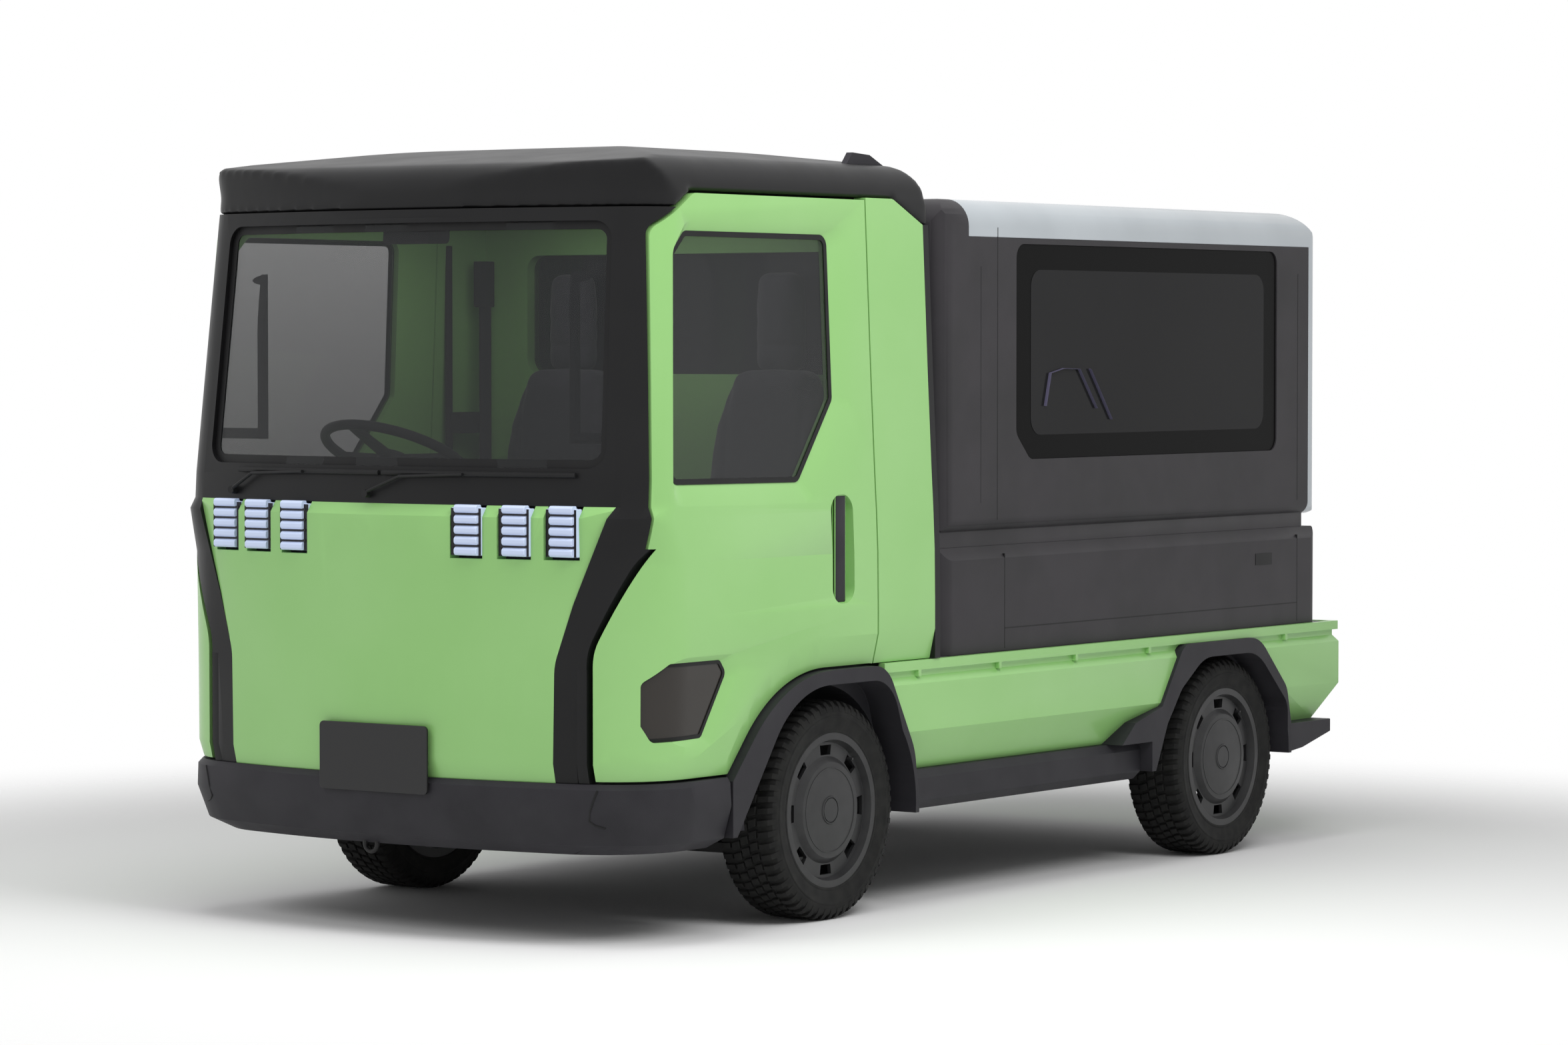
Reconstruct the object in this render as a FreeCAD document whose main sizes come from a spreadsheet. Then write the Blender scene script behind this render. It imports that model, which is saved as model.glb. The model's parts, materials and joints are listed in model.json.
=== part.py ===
import FreeCAD, Part
import math
import os
import re
import Sketcher

# A kei truck: cab over the front axle, flat deck with green skirts, and a two-storey cargo body on the deck.
# Millimetres. X is across, plus to the vehicle's left, Y runs from front to back, Z is up from the ground.

doc = FreeCAD.newDocument("kei_truck")
sheet = doc.addObject("Spreadsheet::Sheet", "sizes")
aliases = []
nodes = []

turn_to = {
    "XY": FreeCAD.Rotation(),
    "XZ": FreeCAD.Rotation(FreeCAD.Vector(1, 0, 0), 90),
    "YZ": FreeCAD.Rotation(FreeCAD.Vector(1, 1, 1), 120),
}
point_along = {
    "X": FreeCAD.Rotation(FreeCAD.Vector(0, 1, 0), 90),
    "Y": FreeCAD.Rotation(FreeCAD.Vector(1, 0, 0), -90),
    "Z": FreeCAD.Rotation(),
}


def sizes(**values):
    """Writes named sizes into the sheet, one row each."""
    for alias, number in values.items():
        aliases.append(alias)
        row = len(aliases)
        sheet.set(f"A{row}", alias)
        sheet.set(f"B{row}", str(number))
        sheet.setAlias(f"B{row}", alias)
    sheet.recompute()


def linked(text):
    """The expression as another object writes it, with the sheet's name before each size."""
    return re.sub(r"[a-z]\w*", lambda word: "sizes." + word[0] if word[0] in aliases else word[0], str(text))


def value(text):
    """What an expression on the sheet's sizes comes to."""
    return float(sheet.evalExpression(str(text)))


def bind(thing, **expressions):
    """Binds properties to the sheet; an underscore in a keyword stands for a dot."""
    for name, text in expressions.items():
        thing.setExpression(name.replace("_", "."), linked(text))
    return thing


def put(thing, x=0, y=0, z=0):
    """Binds an object's place to the sheet."""
    return bind(thing, Placement_Base_x=x, Placement_Base_y=y, Placement_Base_z=z)


def keep(thing):
    """Marks a finished sub-part: its label names its file."""
    nodes.append(thing)
    return thing


def box(name, x, y, z):
    """A box between a low and a high expression on each axis."""
    solid = doc.addObject("Part::Box", name)
    bind(solid, Length=f"{x[1]} - ({x[0]})", Width=f"{y[1]} - ({y[0]})", Height=f"{z[1]} - ({z[0]})")
    return put(solid, x[0], y[0], z[0])


def rod(name, along, radius, length, x, y, z):
    """A round bar that starts at x, y, z and runs along an axis."""
    solid = doc.addObject("Part::Cylinder", name)
    solid.Placement = FreeCAD.Placement(FreeCAD.Vector(), point_along[along])
    bind(solid, Radius=radius, Height=length)
    return put(solid, x, y, z)


def fuse(name, *parts):
    solid = doc.addObject("Part::MultiFuse", name)
    solid.Shapes = list(parts)
    return solid


def group(name, *parts):
    """Like pieces of one sub-part that don't touch."""
    pieces = doc.addObject("Part::Compound", name)
    pieces.Links = list(parts)
    return pieces


def cut(name, base, *tools):
    solid = doc.addObject("Part::Cut", name)
    solid.Base = base
    solid.Tool = tools[0] if len(tools) == 1 else fuse(name + "_tools", *tools)
    return solid


def common(name, base, tool):
    solid = doc.addObject("Part::Common", name)
    solid.Base = base
    solid.Tool = tool
    return solid


def mirrored(name, source):
    """The same piece on the vehicle's other side."""
    copy = doc.addObject("Part::Mirroring", name)
    copy.Source = source
    copy.Normal = FreeCAD.Vector(1, 0, 0)
    return copy


def outline(name, plane, points):
    """A closed sketch. Each corner is two expressions, and a third where it is rounded."""
    sketch = doc.addObject("Sketcher::SketchObject", name)
    sketch.Placement = FreeCAD.Placement(FreeCAD.Vector(), turn_to[plane])
    draw_outline(sketch, points)
    return sketch


def draw_outline(sketch, points):
    """Draws the sides and rounded corners, fully constrained, with every size bound to the sheet."""
    count = len(points)
    spots = [FreeCAD.Vector(value(corner[0]), value(corner[1]), 0) for corner in points]
    arrive, leave, turns = [], [], []
    for i, corner in enumerate(points):
        back = (spots[i - 1] - spots[i]).normalize()
        ahead = (spots[(i + 1) % count] - spots[i]).normalize()
        half_angle = back.getAngle(ahead) / 2
        reach = value(corner[2]) / math.tan(half_angle) if len(corner) > 2 else 0
        arrive.append(spots[i] + back * reach)
        leave.append(spots[i] + ahead * reach)
        turns.append((back, ahead, half_angle))
    shapes = [Part.LineSegment(leave[i], arrive[(i + 1) % count]) for i in range(count)]
    guides, rules, bound = [], [], {}

    def rule(*entry, text=None):
        if text is not None:
            bound[len(rules)] = text
        rules.append(Sketcher.Constraint(*entry))

    arcs = [i for i, corner in enumerate(points) if len(corner) > 2]
    for i, corner in enumerate(points):
        before = (i - 1) % count
        if i not in arcs:
            rule("Coincident", before, 2, i, 1)
            rule("DistanceX", -1, 1, i, 1, spots[i].x, text=corner[0])
            rule("DistanceY", -1, 1, i, 1, spots[i].y, text=corner[1])
            continue
        back, ahead, half_angle = turns[i]
        radius = value(corner[2])
        middle = spots[i] + (back + ahead).normalize() * (radius / math.sin(half_angle))
        left_turn = back.cross(ahead).z < 0
        first, last = (arrive[i], leave[i]) if left_turn else (leave[i], arrive[i])
        spread = [math.atan2(spot.y - middle.y, spot.x - middle.x) for spot in (first, last)]
        arc = len(shapes)
        shapes.append(Part.ArcOfCircle(Part.Circle(middle, FreeCAD.Vector(0, 0, 1), radius), *spread))
        guide = count + len(arcs) + len(guides)
        guides.append(Part.Point(spots[i]))
        rule("Tangent", before, 2, arc, 1 if left_turn else 2)
        rule("Tangent", i, 1, arc, 2 if left_turn else 1)
        rule("Radius", arc, radius, text=corner[2])
        rule("PointOnObject", guide, 1, before)
        rule("PointOnObject", guide, 1, i)
        rule("DistanceX", -1, 1, guide, 1, spots[i].x, text=corner[0])
        rule("DistanceY", -1, 1, guide, 1, spots[i].y, text=corner[1])
    sketch.addGeometry(shapes, False)
    if guides:
        sketch.addGeometry(guides, True)
    sketch.addConstraint(rules)
    for number, text in bound.items():
        sketch.setExpression(f"Constraints[{number}]", linked(text))


def prism(name, plane, points, low, high):
    """A solid of one outline between two places on the axis that the outline faces."""
    sketch = outline(name + "_outline", plane, points)
    solid = doc.addObject("Part::Extrusion", name)
    solid.Base = sketch
    solid.DirMode = "Normal"
    solid.Solid = True
    bind(solid, LengthFwd=f"{high} - ({low})")
    if plane == "XY":
        put(sketch, z=low)
    elif plane == "YZ":
        put(sketch, x=low)
    else:
        put(sketch, y=high)
    return solid


def in_box(shares, left, right, low, high):
    """Corners from a table of shares of a box, each with the name of its rounding if it has one."""
    return [
        (f"{left} + {across} * ({right} - ({left}))", f"{low} + {up} * ({high} - ({low}))", *rounding)
        for across, up, *rounding in shares
    ]


def both_sides(half):
    """A whole symmetrical outline from its right-hand half, listed upwards."""
    return half + [(f"-({across})", up, *rounding) for across, up, *rounding in reversed(half)]


# Overall sizes and running clearances
sizes(
    overall_length=3395, overall_width=1475, overall_height=1885,
    front_overhang=907.5, wheelbase=1900, wheel_track=1234,
    tyre_radius=268.5, tyre_width=165, rim_radius=178,
    moving_gap=6, seat_gap=0.3, overrun=40,
)
front_end = "(-overall_length / 2)"
rear_end = "(overall_length / 2)"
front_axle = "(front_overhang - overall_length / 2)"
rear_axle = f"({front_axle} + wheelbase)"
wheel_middle = "(wheel_track / 2)"

# Cab shell: rounded plan sections, stacked and lofted
sizes(
    cab_foot=385, cab_split=1762, cab_half_width=730, cab_nose_setback=11.5, cab_length=1321,
    cab_wall=35, rear_hoop_wall=24, rear_wall=75, nose_round=2410, cab_corner_round=210,
    windscreen_lean=110, roof_half_width=686, roof_shoulder=1838, roof_flat=300,
    shoulder_round=80, crown_round=1800, roof_front_lean=94, roof_brow=1822, roof_tail=1846, tail_round=110,
    crown_front=1130, crown_rear=740, roof_loft_rise=140, glass_inset=14, glass_wall=6, flank_lean=2.55,
    flank_foot=767.6,
)
cab_nose = f"({front_end} + cab_nose_setback)"
cab_rear = f"({cab_nose} + cab_length)"
cab_rise = "(cab_split - cab_foot)"
# Each row: share of the cab's rise, of its half width, of the windscreen's lean, and of the corner's round
cab_level_shares = [
    (0, 0.977, 0.1, 0.95), (0.033, 0.998, 0, 1), (0.171, 1, 0, 1), (0.274, 1, 0, 0.975), (0.371, 0.998, 0, 0.93),
    (0.423, 0.994, 0, 0.7), (0.447, 0.992, 0, 0.6), (0.466, 0.99, 0.17, 0.58), (0.512, 0.985, 0.19, 0.57),
    (0.687, 0.969, 0.42, 0.55), (1, 0.944, 0.84, 0.55),
]


def plan_section(name, level, half_width, nose, corner, rear, bow="nose_round"):
    """A plan outline: bowed front, round front corners, straight sides and rear."""
    half, front, radius, wide = (value(text) for text in (half_width, nose, corner, bow))
    far = front + wide
    side = half - radius
    back = far - math.sqrt((wide - radius) ** 2 - side ** 2)
    lean = math.atan2(side, far - back)
    meet = FreeCAD.Vector(wide * math.sin(lean), far - wide * math.cos(lean), 0)
    end = value(rear)
    up = FreeCAD.Vector(0, 0, 1)
    down = -math.pi / 2
    sketch = doc.addObject("Sketcher::SketchObject", name)
    sketch.addGeometry([
        Part.ArcOfCircle(Part.Circle(FreeCAD.Vector(0, far, 0), up, wide), down - lean, down + lean),
        Part.ArcOfCircle(Part.Circle(FreeCAD.Vector(side, back, 0), up, radius), down + lean, 0),
        Part.LineSegment(FreeCAD.Vector(half, back, 0), FreeCAD.Vector(half, end, 0)),
        Part.LineSegment(FreeCAD.Vector(half, end, 0), FreeCAD.Vector(-half, end, 0)),
        Part.LineSegment(FreeCAD.Vector(-half, end, 0), FreeCAD.Vector(-half, back, 0)),
        Part.ArcOfCircle(Part.Circle(FreeCAD.Vector(-side, back, 0), up, radius), math.pi, down - lean + 2 * math.pi),
    ], False)
    entries = [
        ("Tangent", 0, 2, 1, 1), ("Tangent", 1, 2, 2, 1), ("Coincident", 2, 2, 3, 1), ("Coincident", 3, 2, 4, 1),
        ("Tangent", 4, 2, 5, 1), ("Tangent", 5, 2, 0, 1), ("Vertical", 2), ("Vertical", 4), ("Horizontal", 3),
        ("PointOnObject", 0, 3, -2),
    ]
    sizes_of = [
        (("DistanceY", -1, 1, 0, 3, far), f"{nose} + {bow}"), (("Radius", 0, wide), bow),
        (("Radius", 1, radius), corner), (("Radius", 5, radius), corner),
        (("DistanceX", -1, 1, 2, 1, half), half_width), (("DistanceX", -1, 1, 4, 1, -half), f"-({half_width})"),
        (("DistanceY", -1, 1, 3, 1, end), rear),
    ]
    first = len(entries)
    sketch.addConstraint([Sketcher.Constraint(*entry) for entry in entries + [entry for entry, text in sizes_of]])
    for number, (entry, text) in enumerate(sizes_of):
        sketch.setExpression(f"Constraints[{first + number}]", linked(text))
    return put(sketch, z=level)


def lofted(name, sections):
    solid = doc.addObject("Part::Loft", name)
    solid.Sections = sections
    solid.Solid = True
    solid.Ruled = True
    return solid


def cab_hull(name, inset, rear):
    """The cab's closed outer form, or the same form set inwards by a wall."""
    sections = []
    for number, (rise, width, lean, round_share) in enumerate(cab_level_shares):
        sections.append(plan_section(
            f"{name}_level_{number}", f"cab_foot + {rise} * {cab_rise}", f"{width} * cab_half_width - ({inset})",
            f"{cab_nose} + {lean} * windscreen_lean + {inset}", f"{round_share} * cab_corner_round - ({inset})", rear,
            f"nose_round - ({inset})",
        ))
    width, lean, round_share = cab_level_shares[-1][1:]
    sections.append(plan_section(
        f"{name}_top", "cab_split + roof_loft_rise", f"{width} * cab_half_width + cab_wall - ({inset})",
        f"{cab_nose} + {lean} * windscreen_lean + {inset}", f"{round_share} * cab_corner_round - ({inset})", rear,
        f"nose_round - ({inset})",
    ))
    body = lofted(f"{name}_body", sections)
    across = prism(f"{name}_across", "XZ", both_sides([
        (f"cab_half_width + overrun", "cab_foot - overrun"), (f"cab_half_width + overrun", "cab_split"),
        (f"roof_half_width - ({inset})", "cab_split"),
        (f"roof_half_width - ({inset})", f"roof_shoulder - ({inset})", f"shoulder_round - ({inset})"),
        ("roof_flat", f"overall_height - ({inset})", "crown_round"),
    ]), f"{front_end} - overrun", f"{cab_rear} + overrun")
    along = prism(f"{name}_along", "YZ", [
        (f"{front_end} - overrun", "cab_foot - overrun"), (f"{cab_rear} + overrun", "cab_foot - overrun"),
        (f"{cab_rear} + overrun", "roof_tail - 3 * tail_round"), (rear, "roof_tail - 3 * tail_round"),
        (rear, f"roof_tail - ({inset})", "tail_round"),
        (f"{cab_rear} - crown_rear / 2", f"overall_height - ({inset})", "crown_round"),
        (f"{cab_rear} - crown_front + crown_rear / 2", f"overall_height - ({inset})", "crown_round"),
        (f"{cab_nose} + roof_front_lean + {inset}", f"roof_brow - ({inset})", f"shoulder_round - ({inset}) / 2"),
        (f"{cab_nose} + roof_front_lean + {inset}", "roof_brow - 1.5 * shoulder_round"),
        (f"{front_end} - overrun", "roof_brow - 1.5 * shoulder_round"),
    ], "-cab_half_width - overrun", "cab_half_width + overrun")
    return common(name, common(f"{name}_crowned", body, across), along)


cab_outside = cab_hull("cab_outside", "0", cab_rear)
cab_inside = cab_hull("cab_inside", "cab_wall", f"{cab_rear} - rear_wall")
cab_shell = cut("cab_shell", cab_outside, cab_inside)

# Wheel arches: the outlines that the doors, the deck's skirts and the flares share
sizes(
    front_arch_ahead=472, front_arch_behind=320, arch_foot=241, front_arch_top=615,
    rear_arch_ahead=610, rear_arch_behind=301, rear_arch_foot=262, rear_arch_top=594,
    arch_round=440, arch_heel_round=90, arch_toe_round=150, mouth_round=280, mouth_heel_round=110,
    rear_arch_round=60, rear_heel_round=120, rear_mouth_round=150, rear_mouth_toe=80, flare_inside=640, flare_web=10,
)
front_arch_shares = [
    (0, 0), (0, 0.358), (0.278, 1, "arch_round"), (0.821, 1, "arch_heel_round"),
    (0.975, 0.425, "arch_toe_round"), (1, 0.086), (1, 0),
]
front_mouth_shares = [
    (0.023, -0.2), (0.023, 0), (0.33, 0.904, "mouth_round"), (0.846, 0.904, "mouth_heel_round"),
    (0.962, 0.238), (0.962, -0.2),
]
rear_arch_shares = [
    (0, 0.24), (0.075, 0.407), (0.226, 0.515), (0.353, 1, "rear_arch_round"), (0.801, 1, "rear_heel_round"),
    (0.971, 0.56, "rear_arch_round"), (1, 0.238), (1, 0), (0.17, 0), (0.17, 0.24),
]
rear_mouth_shares = [
    (0.192, -0.2), (0.192, 0), (0.258, 0.37), (0.34, 0.64, "rear_mouth_toe"), (0.472, 0.877, "rear_mouth_round"),
    (0.79, 0.877, "rear_mouth_round"), (0.976, 0.42, "rear_arch_round"), (0.976, -0.2),
]


def front_arch(shares, grown="0"):
    return in_box(
        shares, f"({front_axle} - front_arch_ahead - {grown})", f"({front_axle} + front_arch_behind + {grown})",
        f"(arch_foot - {grown})", f"(front_arch_top + {grown})",
    )


def rear_arch(shares, grown="0"):
    return in_box(
        shares, f"({rear_axle} - rear_arch_ahead - {grown})", f"({rear_axle} + rear_arch_behind + {grown})",
        f"(rear_arch_foot - {grown})", f"(rear_arch_top + {grown})",
    )


# Cab sides: the lines where doors, black pillars, front panel, back and roof part
sizes(
    door_shut_back=280, door_top_drop=6, door_chamfer_back=987, door_chamfer_drop=86,
    upper_pillar_back=1176, upper_pillar_foot=930, pillar_slope_back=1126, brow_foot=1722, side_round=40,
    foot_pillar_out=575, mid_pillar_foot=690, mid_pillar_out=673, mid_pillar_top=896, high_pillar_out=700,
    foot_door_gap=15, pillar_reach=1115, back_foot=620, back_depth=24, tail_drop=62, tail_run=155,
    panel_foot_half=490, panel_waist_half=495, panel_waist=660, panel_hip_half=542, panel_hip=800,
    panel_top_half=635, panel_top=1027, panel_round=140,
    screen_foot_half=607, screen_foot=1115, screen_top_half=585, screen_top=1690, screen_round=45,
    rear_window_half=520, rear_window_foot=1326, rear_window_top=1635, hoop_opening_half=640,
    hoop_opening_foot=660, hoop_opening_top=1670,
)
door_foot = "(cab_foot + moving_gap)"
door_rear = f"({cab_rear} - door_shut_back)"
door_top = "(cab_split - door_top_drop)"
side_front = f"({front_end} - overrun)"
pillar_rear = f"({cab_rear} - pillar_reach)"


def front_line(set_out):
    """The S-shaped edge of the black pillar seen from the front, set out sideways for the door's own edge."""
    return both_sides([
        (f"foot_pillar_out + {set_out}", "cab_foot - overrun"),
        (f"foot_pillar_out + {set_out}", "mid_pillar_foot", "panel_round"),
        (f"mid_pillar_out + {set_out}", "mid_pillar_top", "panel_round"),
        (f"high_pillar_out + {set_out} / 2", "upper_pillar_foot"),
    ])


sizes(hinge_place=712, hinge_back=1560, hinge_sweep=173, sweep_top=650)
door_sweep = rod("door_sweep", "Z", "hinge_sweep", "sweep_top - cab_foot", "hinge_place", "-hinge_back", "cab_foot")
door_sweep_right = mirrored("door_sweep_right", door_sweep)
lower_pillars_door = prism("lower_pillars_door", "XZ", front_line("foot_door_gap"), side_front, pillar_rear)
lower_pillars = prism("lower_pillars", "XZ", front_line("0"), side_front, f"{pillar_rear} - moving_gap")
upper_pillars = prism("upper_pillars", "YZ", [
    (side_front, "upper_pillar_foot - moving_gap"),
    (f"{cab_rear} - upper_pillar_back - moving_gap", "upper_pillar_foot - moving_gap"),
    (f"{cab_rear} - pillar_slope_back - moving_gap", f"{door_top} - door_chamfer_drop + moving_gap", "side_round"),
    (f"{cab_rear} - (pillar_slope_back + door_chamfer_back) / 2", "brow_foot"),
    (side_front, "brow_foot"),
], "-cab_half_width - overrun", "cab_half_width + overrun")
roof_region = prism("roof_region", "YZ", [
    (side_front, "brow_foot"), (f"{cab_rear} - (pillar_slope_back + door_chamfer_back) / 2", "brow_foot"),
    (f"{cab_rear} - door_chamfer_back - moving_gap", "cab_split"), (f"{cab_rear} - tail_run", "cab_split", "side_round"),
    (f"{cab_rear} - back_depth", "cab_split - tail_drop"), (f"{cab_rear} + overrun", "cab_split - tail_drop"),
    (f"{cab_rear} + overrun", "overall_height + overrun"), (side_front, "overall_height + overrun"),
], "-cab_half_width - overrun", "cab_half_width + overrun")
panel_region = prism("panel_region", "XZ", both_sides([
    ("panel_foot_half", "cab_foot - overrun"), ("panel_waist_half", "panel_waist", "panel_round"),
    ("panel_hip_half", "panel_hip", "panel_round"), ("panel_top_half", "panel_top"),
]), side_front, pillar_rear)
screen_region = prism("screen_region", "XZ", both_sides([
    ("screen_foot_half", "screen_foot", "screen_round"), ("screen_top_half", "screen_top", "screen_round"),
]), side_front, f"{cab_rear} - door_chamfer_back")
rear_window_half_outline = [
    ("rear_window_half", "rear_window_foot", "side_round"), ("rear_window_half", "rear_window_top", "side_round"),
]
rear_window_region = prism(
    "rear_window_region", "XZ", both_sides(rear_window_half_outline), f"{cab_rear} - 2 * rear_wall", f"{cab_rear} + overrun")

# Headlamps: three upright strips a side in slots of the front panel, each of five stacked light blocks
sizes(
    lamp_inner_place=267, lamp_middle_place=395, lamp_outer_place=516, lamp_width=68, lamp_foot=910, lamp_top=1034,
    lamp_stand=10, lamp_depth=22, slot_depth=60, lamp_bevel=22, lamp_row_gap=5, slot_margin=7, slot_side=14, lamp_rows=5,
)
lamp_places = ["lamp_inner_place", "lamp_middle_place", "lamp_outer_place"]
slots, lamps = [], []
for place in lamp_places:
    face = f"({cab_nose} + nose_round - sqrt(nose_round * nose_round - {place} * {place}))"
    slots.append(box(
        f"slot_{place}", (f"{place} - lamp_width / 2 - slot_side", f"{place} + lamp_width / 2 + slot_margin"),
        (f"{face} - overrun", f"{face} + slot_depth"), ("lamp_foot - slot_margin", "panel_top + overrun"),
    ))
    strip = prism(f"strip_{place}", "YZ", [
        (f"{face}", "lamp_foot"), (f"{face} + lamp_depth", "lamp_foot"),
        (f"{face} + lamp_depth", "panel_top - lamp_row_gap"), (f"{face}", "panel_top - lamp_row_gap"),
    ], f"{place} - lamp_width / 2 - slot_side", f"{place} + lamp_width / 2 + slot_margin")
    rows = []
    for row in range(int(value("lamp_rows"))):
        low = f"(lamp_foot + {row} * (lamp_top - lamp_foot) / lamp_rows)"
        high = f"({low} + (lamp_top - lamp_foot) / lamp_rows - lamp_row_gap)"
        rows.append(prism(f"row_{row}_{place}", "YZ", [
            (f"{face} - lamp_stand", f"{low} + lamp_row_gap"), (f"{face} - lamp_stand / 2", low),
            (f"{face} + lamp_depth / 2", low), (f"{face} + lamp_depth / 2", high),
            (f"{face} - lamp_stand / 2", high), (f"{face} - lamp_stand", f"{high} - lamp_row_gap"),
        ], f"{place} - lamp_width / 2", f"{place} + lamp_width / 2"))
    lamps.append(fuse(f"lamp_{place}", strip, *rows))
left_slots = fuse("left_slots", *slots)
right_slots = mirrored("right_slots", left_slots)
lamp_room = cut("lamp_room", cab_shell, panel_region)
trimmed_lamps = [cut(f"trimmed_{place}", lamp, lamp_room) for place, lamp in zip(lamp_places, lamps)]
keep(group("headlamps", *trimmed_lamps, *[
    mirrored(f"right_{place}", lamp) for place, lamp in zip(lamp_places, trimmed_lamps)
]))

# Front panel: slots for the lamps, and a facet that widens upwards along each S-shaped edge
sizes(
    facet_foot=690, facet_foot_place=478, facet_foot_deep=5, facet_top_place=560, facet_top_deep=22, facet_reach=110,
    facet_lift=1.2,
)


def facet_section(name, level, place, depth):
    """A wedge in plan that starts just ahead of the panel's bowed face and gets deeper outwards."""
    out = f"({place} + facet_reach)"
    bow = "(2 * nose_round)"
    return put(outline(name, "XY", [
        (place, f"{cab_nose} + {place} * {place} / {bow} - facet_lift"), (place, f"{front_end} - overrun"),
        (out, f"{front_end} - overrun"), (out, f"{cab_nose} + {out} * {out} / {bow} + {depth}"),
    ]), z=level)


facet_left = lofted("facet_left", [
    facet_section("facet_foot_section", "facet_foot", "facet_foot_place", "facet_foot_deep"),
    facet_section("facet_top_section", "panel_top + lamp_row_gap", "facet_top_place", "facet_top_deep"),
])
front_panel_blank = common("front_panel_blank", cab_shell, panel_region)
keep(cut("front_panel", front_panel_blank, left_slots, right_slots, facet_left, mirrored("facet_right", facet_left)))

# Black pillar frame: both S-shaped front pillars, the cowl under the windscreen and the hoop behind the cab
pillar_tool = fuse("pillar_tool", lower_pillars, upper_pillars)
front_frame = cut(
    "front_frame", common("front_frame_blank", cab_shell, pillar_tool), panel_region, screen_region, roof_region,
    door_sweep, door_sweep_right,
)
hoop_slab = box("hoop_slab", ("-overall_width", "overall_width"), (f"{cab_rear} - back_depth", f"{cab_rear} + overrun"),
                ("back_foot", "cab_split"))
hoop_opening = prism("hoop_opening", "XZ", both_sides([
    ("hoop_opening_half", "hoop_opening_foot", "side_round"), ("hoop_opening_half", "hoop_opening_top", "side_round"),
]), f"{cab_rear} - back_depth - overrun", f"{cab_rear} + overrun")
rear_hoop = cut("rear_hoop", common("rear_hoop_blank", cab_shell, hoop_slab), hoop_opening, roof_region)
keep(group("cab_pillar_frame", front_frame, rear_hoop))

# Roof: one crowned black panel with its brow over the windscreen
keep(common("cab_roof", cab_shell, roof_region))

# Doors: one panel each, wrapping the front corner, with the main window, the low window and the grip
sizes(
    window_front=1474, window_front_top=1438, window_top_front=1383, window_rear=798, window_low_rear=956,
    window_foot=1077, window_shoulder=1616, window_top=1668, window_rear_foot=1268, window_low_foot=1102,
    window_round=30, low_window_round=18,
    low_window_front=1549, low_window_rear=1266, low_window_foot=480, low_window_top=663,
    grip_recess_front=838, grip_recess_rear=744, grip_recess_foot=774, grip_recess_top=1038, grip_recess_deep=28,
    grip_half=22, grip_stand=11, grip_wall=9, grip_root=10, grip_round=8,
)
# Corners of the main window, each with its way out across and up as a recess round it grows
window_corners = [
    ("-window_front", "window_foot", -1, -1), ("-window_low_rear", "window_low_foot - window_round", 0.5, -1),
    ("-window_rear", "window_rear_foot", 1, -0.3), ("-window_rear", "window_top", 1, 1),
    ("-window_top_front", "window_top", -0.3, 1), ("-window_front_top", "window_shoulder", -1, 0.3),
]


def window_line(ahead="0", behind="0", above="0", below="0", rounding="window_round"):
    """The main window's outline, grown by a margin on each side."""
    return [
        (f"{place} + {across} * ({ahead if across < 0 else behind})", f"{level} + {up} * ({above if up > 0 else below})", rounding)
        for place, level, across, up in window_corners
    ]


def on_flank(name, points, depth):
    """An outline on a plane that leans in with the cab's flank, some way under its skin."""
    level = [(across, f"({up}) / cos(flank_lean)", *rounding) for across, up, *rounding in points]
    sketch = outline(name, "YZ", level)
    lean = FreeCAD.Rotation(FreeCAD.Vector(0, 1, 0), -value("flank_lean"))
    sketch.Placement = FreeCAD.Placement(FreeCAD.Vector(), lean.multiply(turn_to["YZ"]))
    return put(sketch, x=f"flank_foot - ({depth}) / cos(flank_lean)")


low_window_shares = [
    (0, 0.22), (0.074, 0, "low_window_round"), (0.65, 0.02, "low_window_round"), (1, 0.83, "low_window_round"),
    (0.915, 1, "low_window_round"), (0.226, 1, "low_window_round"), (0, 0.76, "low_window_round"),
]
door_side = prism("door_side", "YZ", [
    (side_front, door_foot), (door_rear, door_foot), (door_rear, door_top),
    (f"{cab_rear} - door_chamfer_back", door_top, "side_round"),
    (f"{cab_rear} - pillar_slope_back", f"{door_top} - door_chamfer_drop", "side_round"),
    (f"{cab_rear} - upper_pillar_back", "upper_pillar_foot"), (side_front, "upper_pillar_foot"),
], "foot_pillar_out / 2", "cab_half_width + overrun")
door_arch = prism("door_arch", "YZ", front_arch(front_arch_shares, "moving_gap"), "foot_pillar_out / 2", "cab_half_width + overrun")
window_region = prism("window_region", "YZ", window_line(), "panel_hip_half", "cab_half_width + overrun")
low_window_region = prism("low_window_region", "YZ", in_box(
    low_window_shares, "-low_window_front", "-low_window_rear", "low_window_foot", "low_window_top",
), "panel_hip_half", "cab_half_width + overrun")

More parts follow.
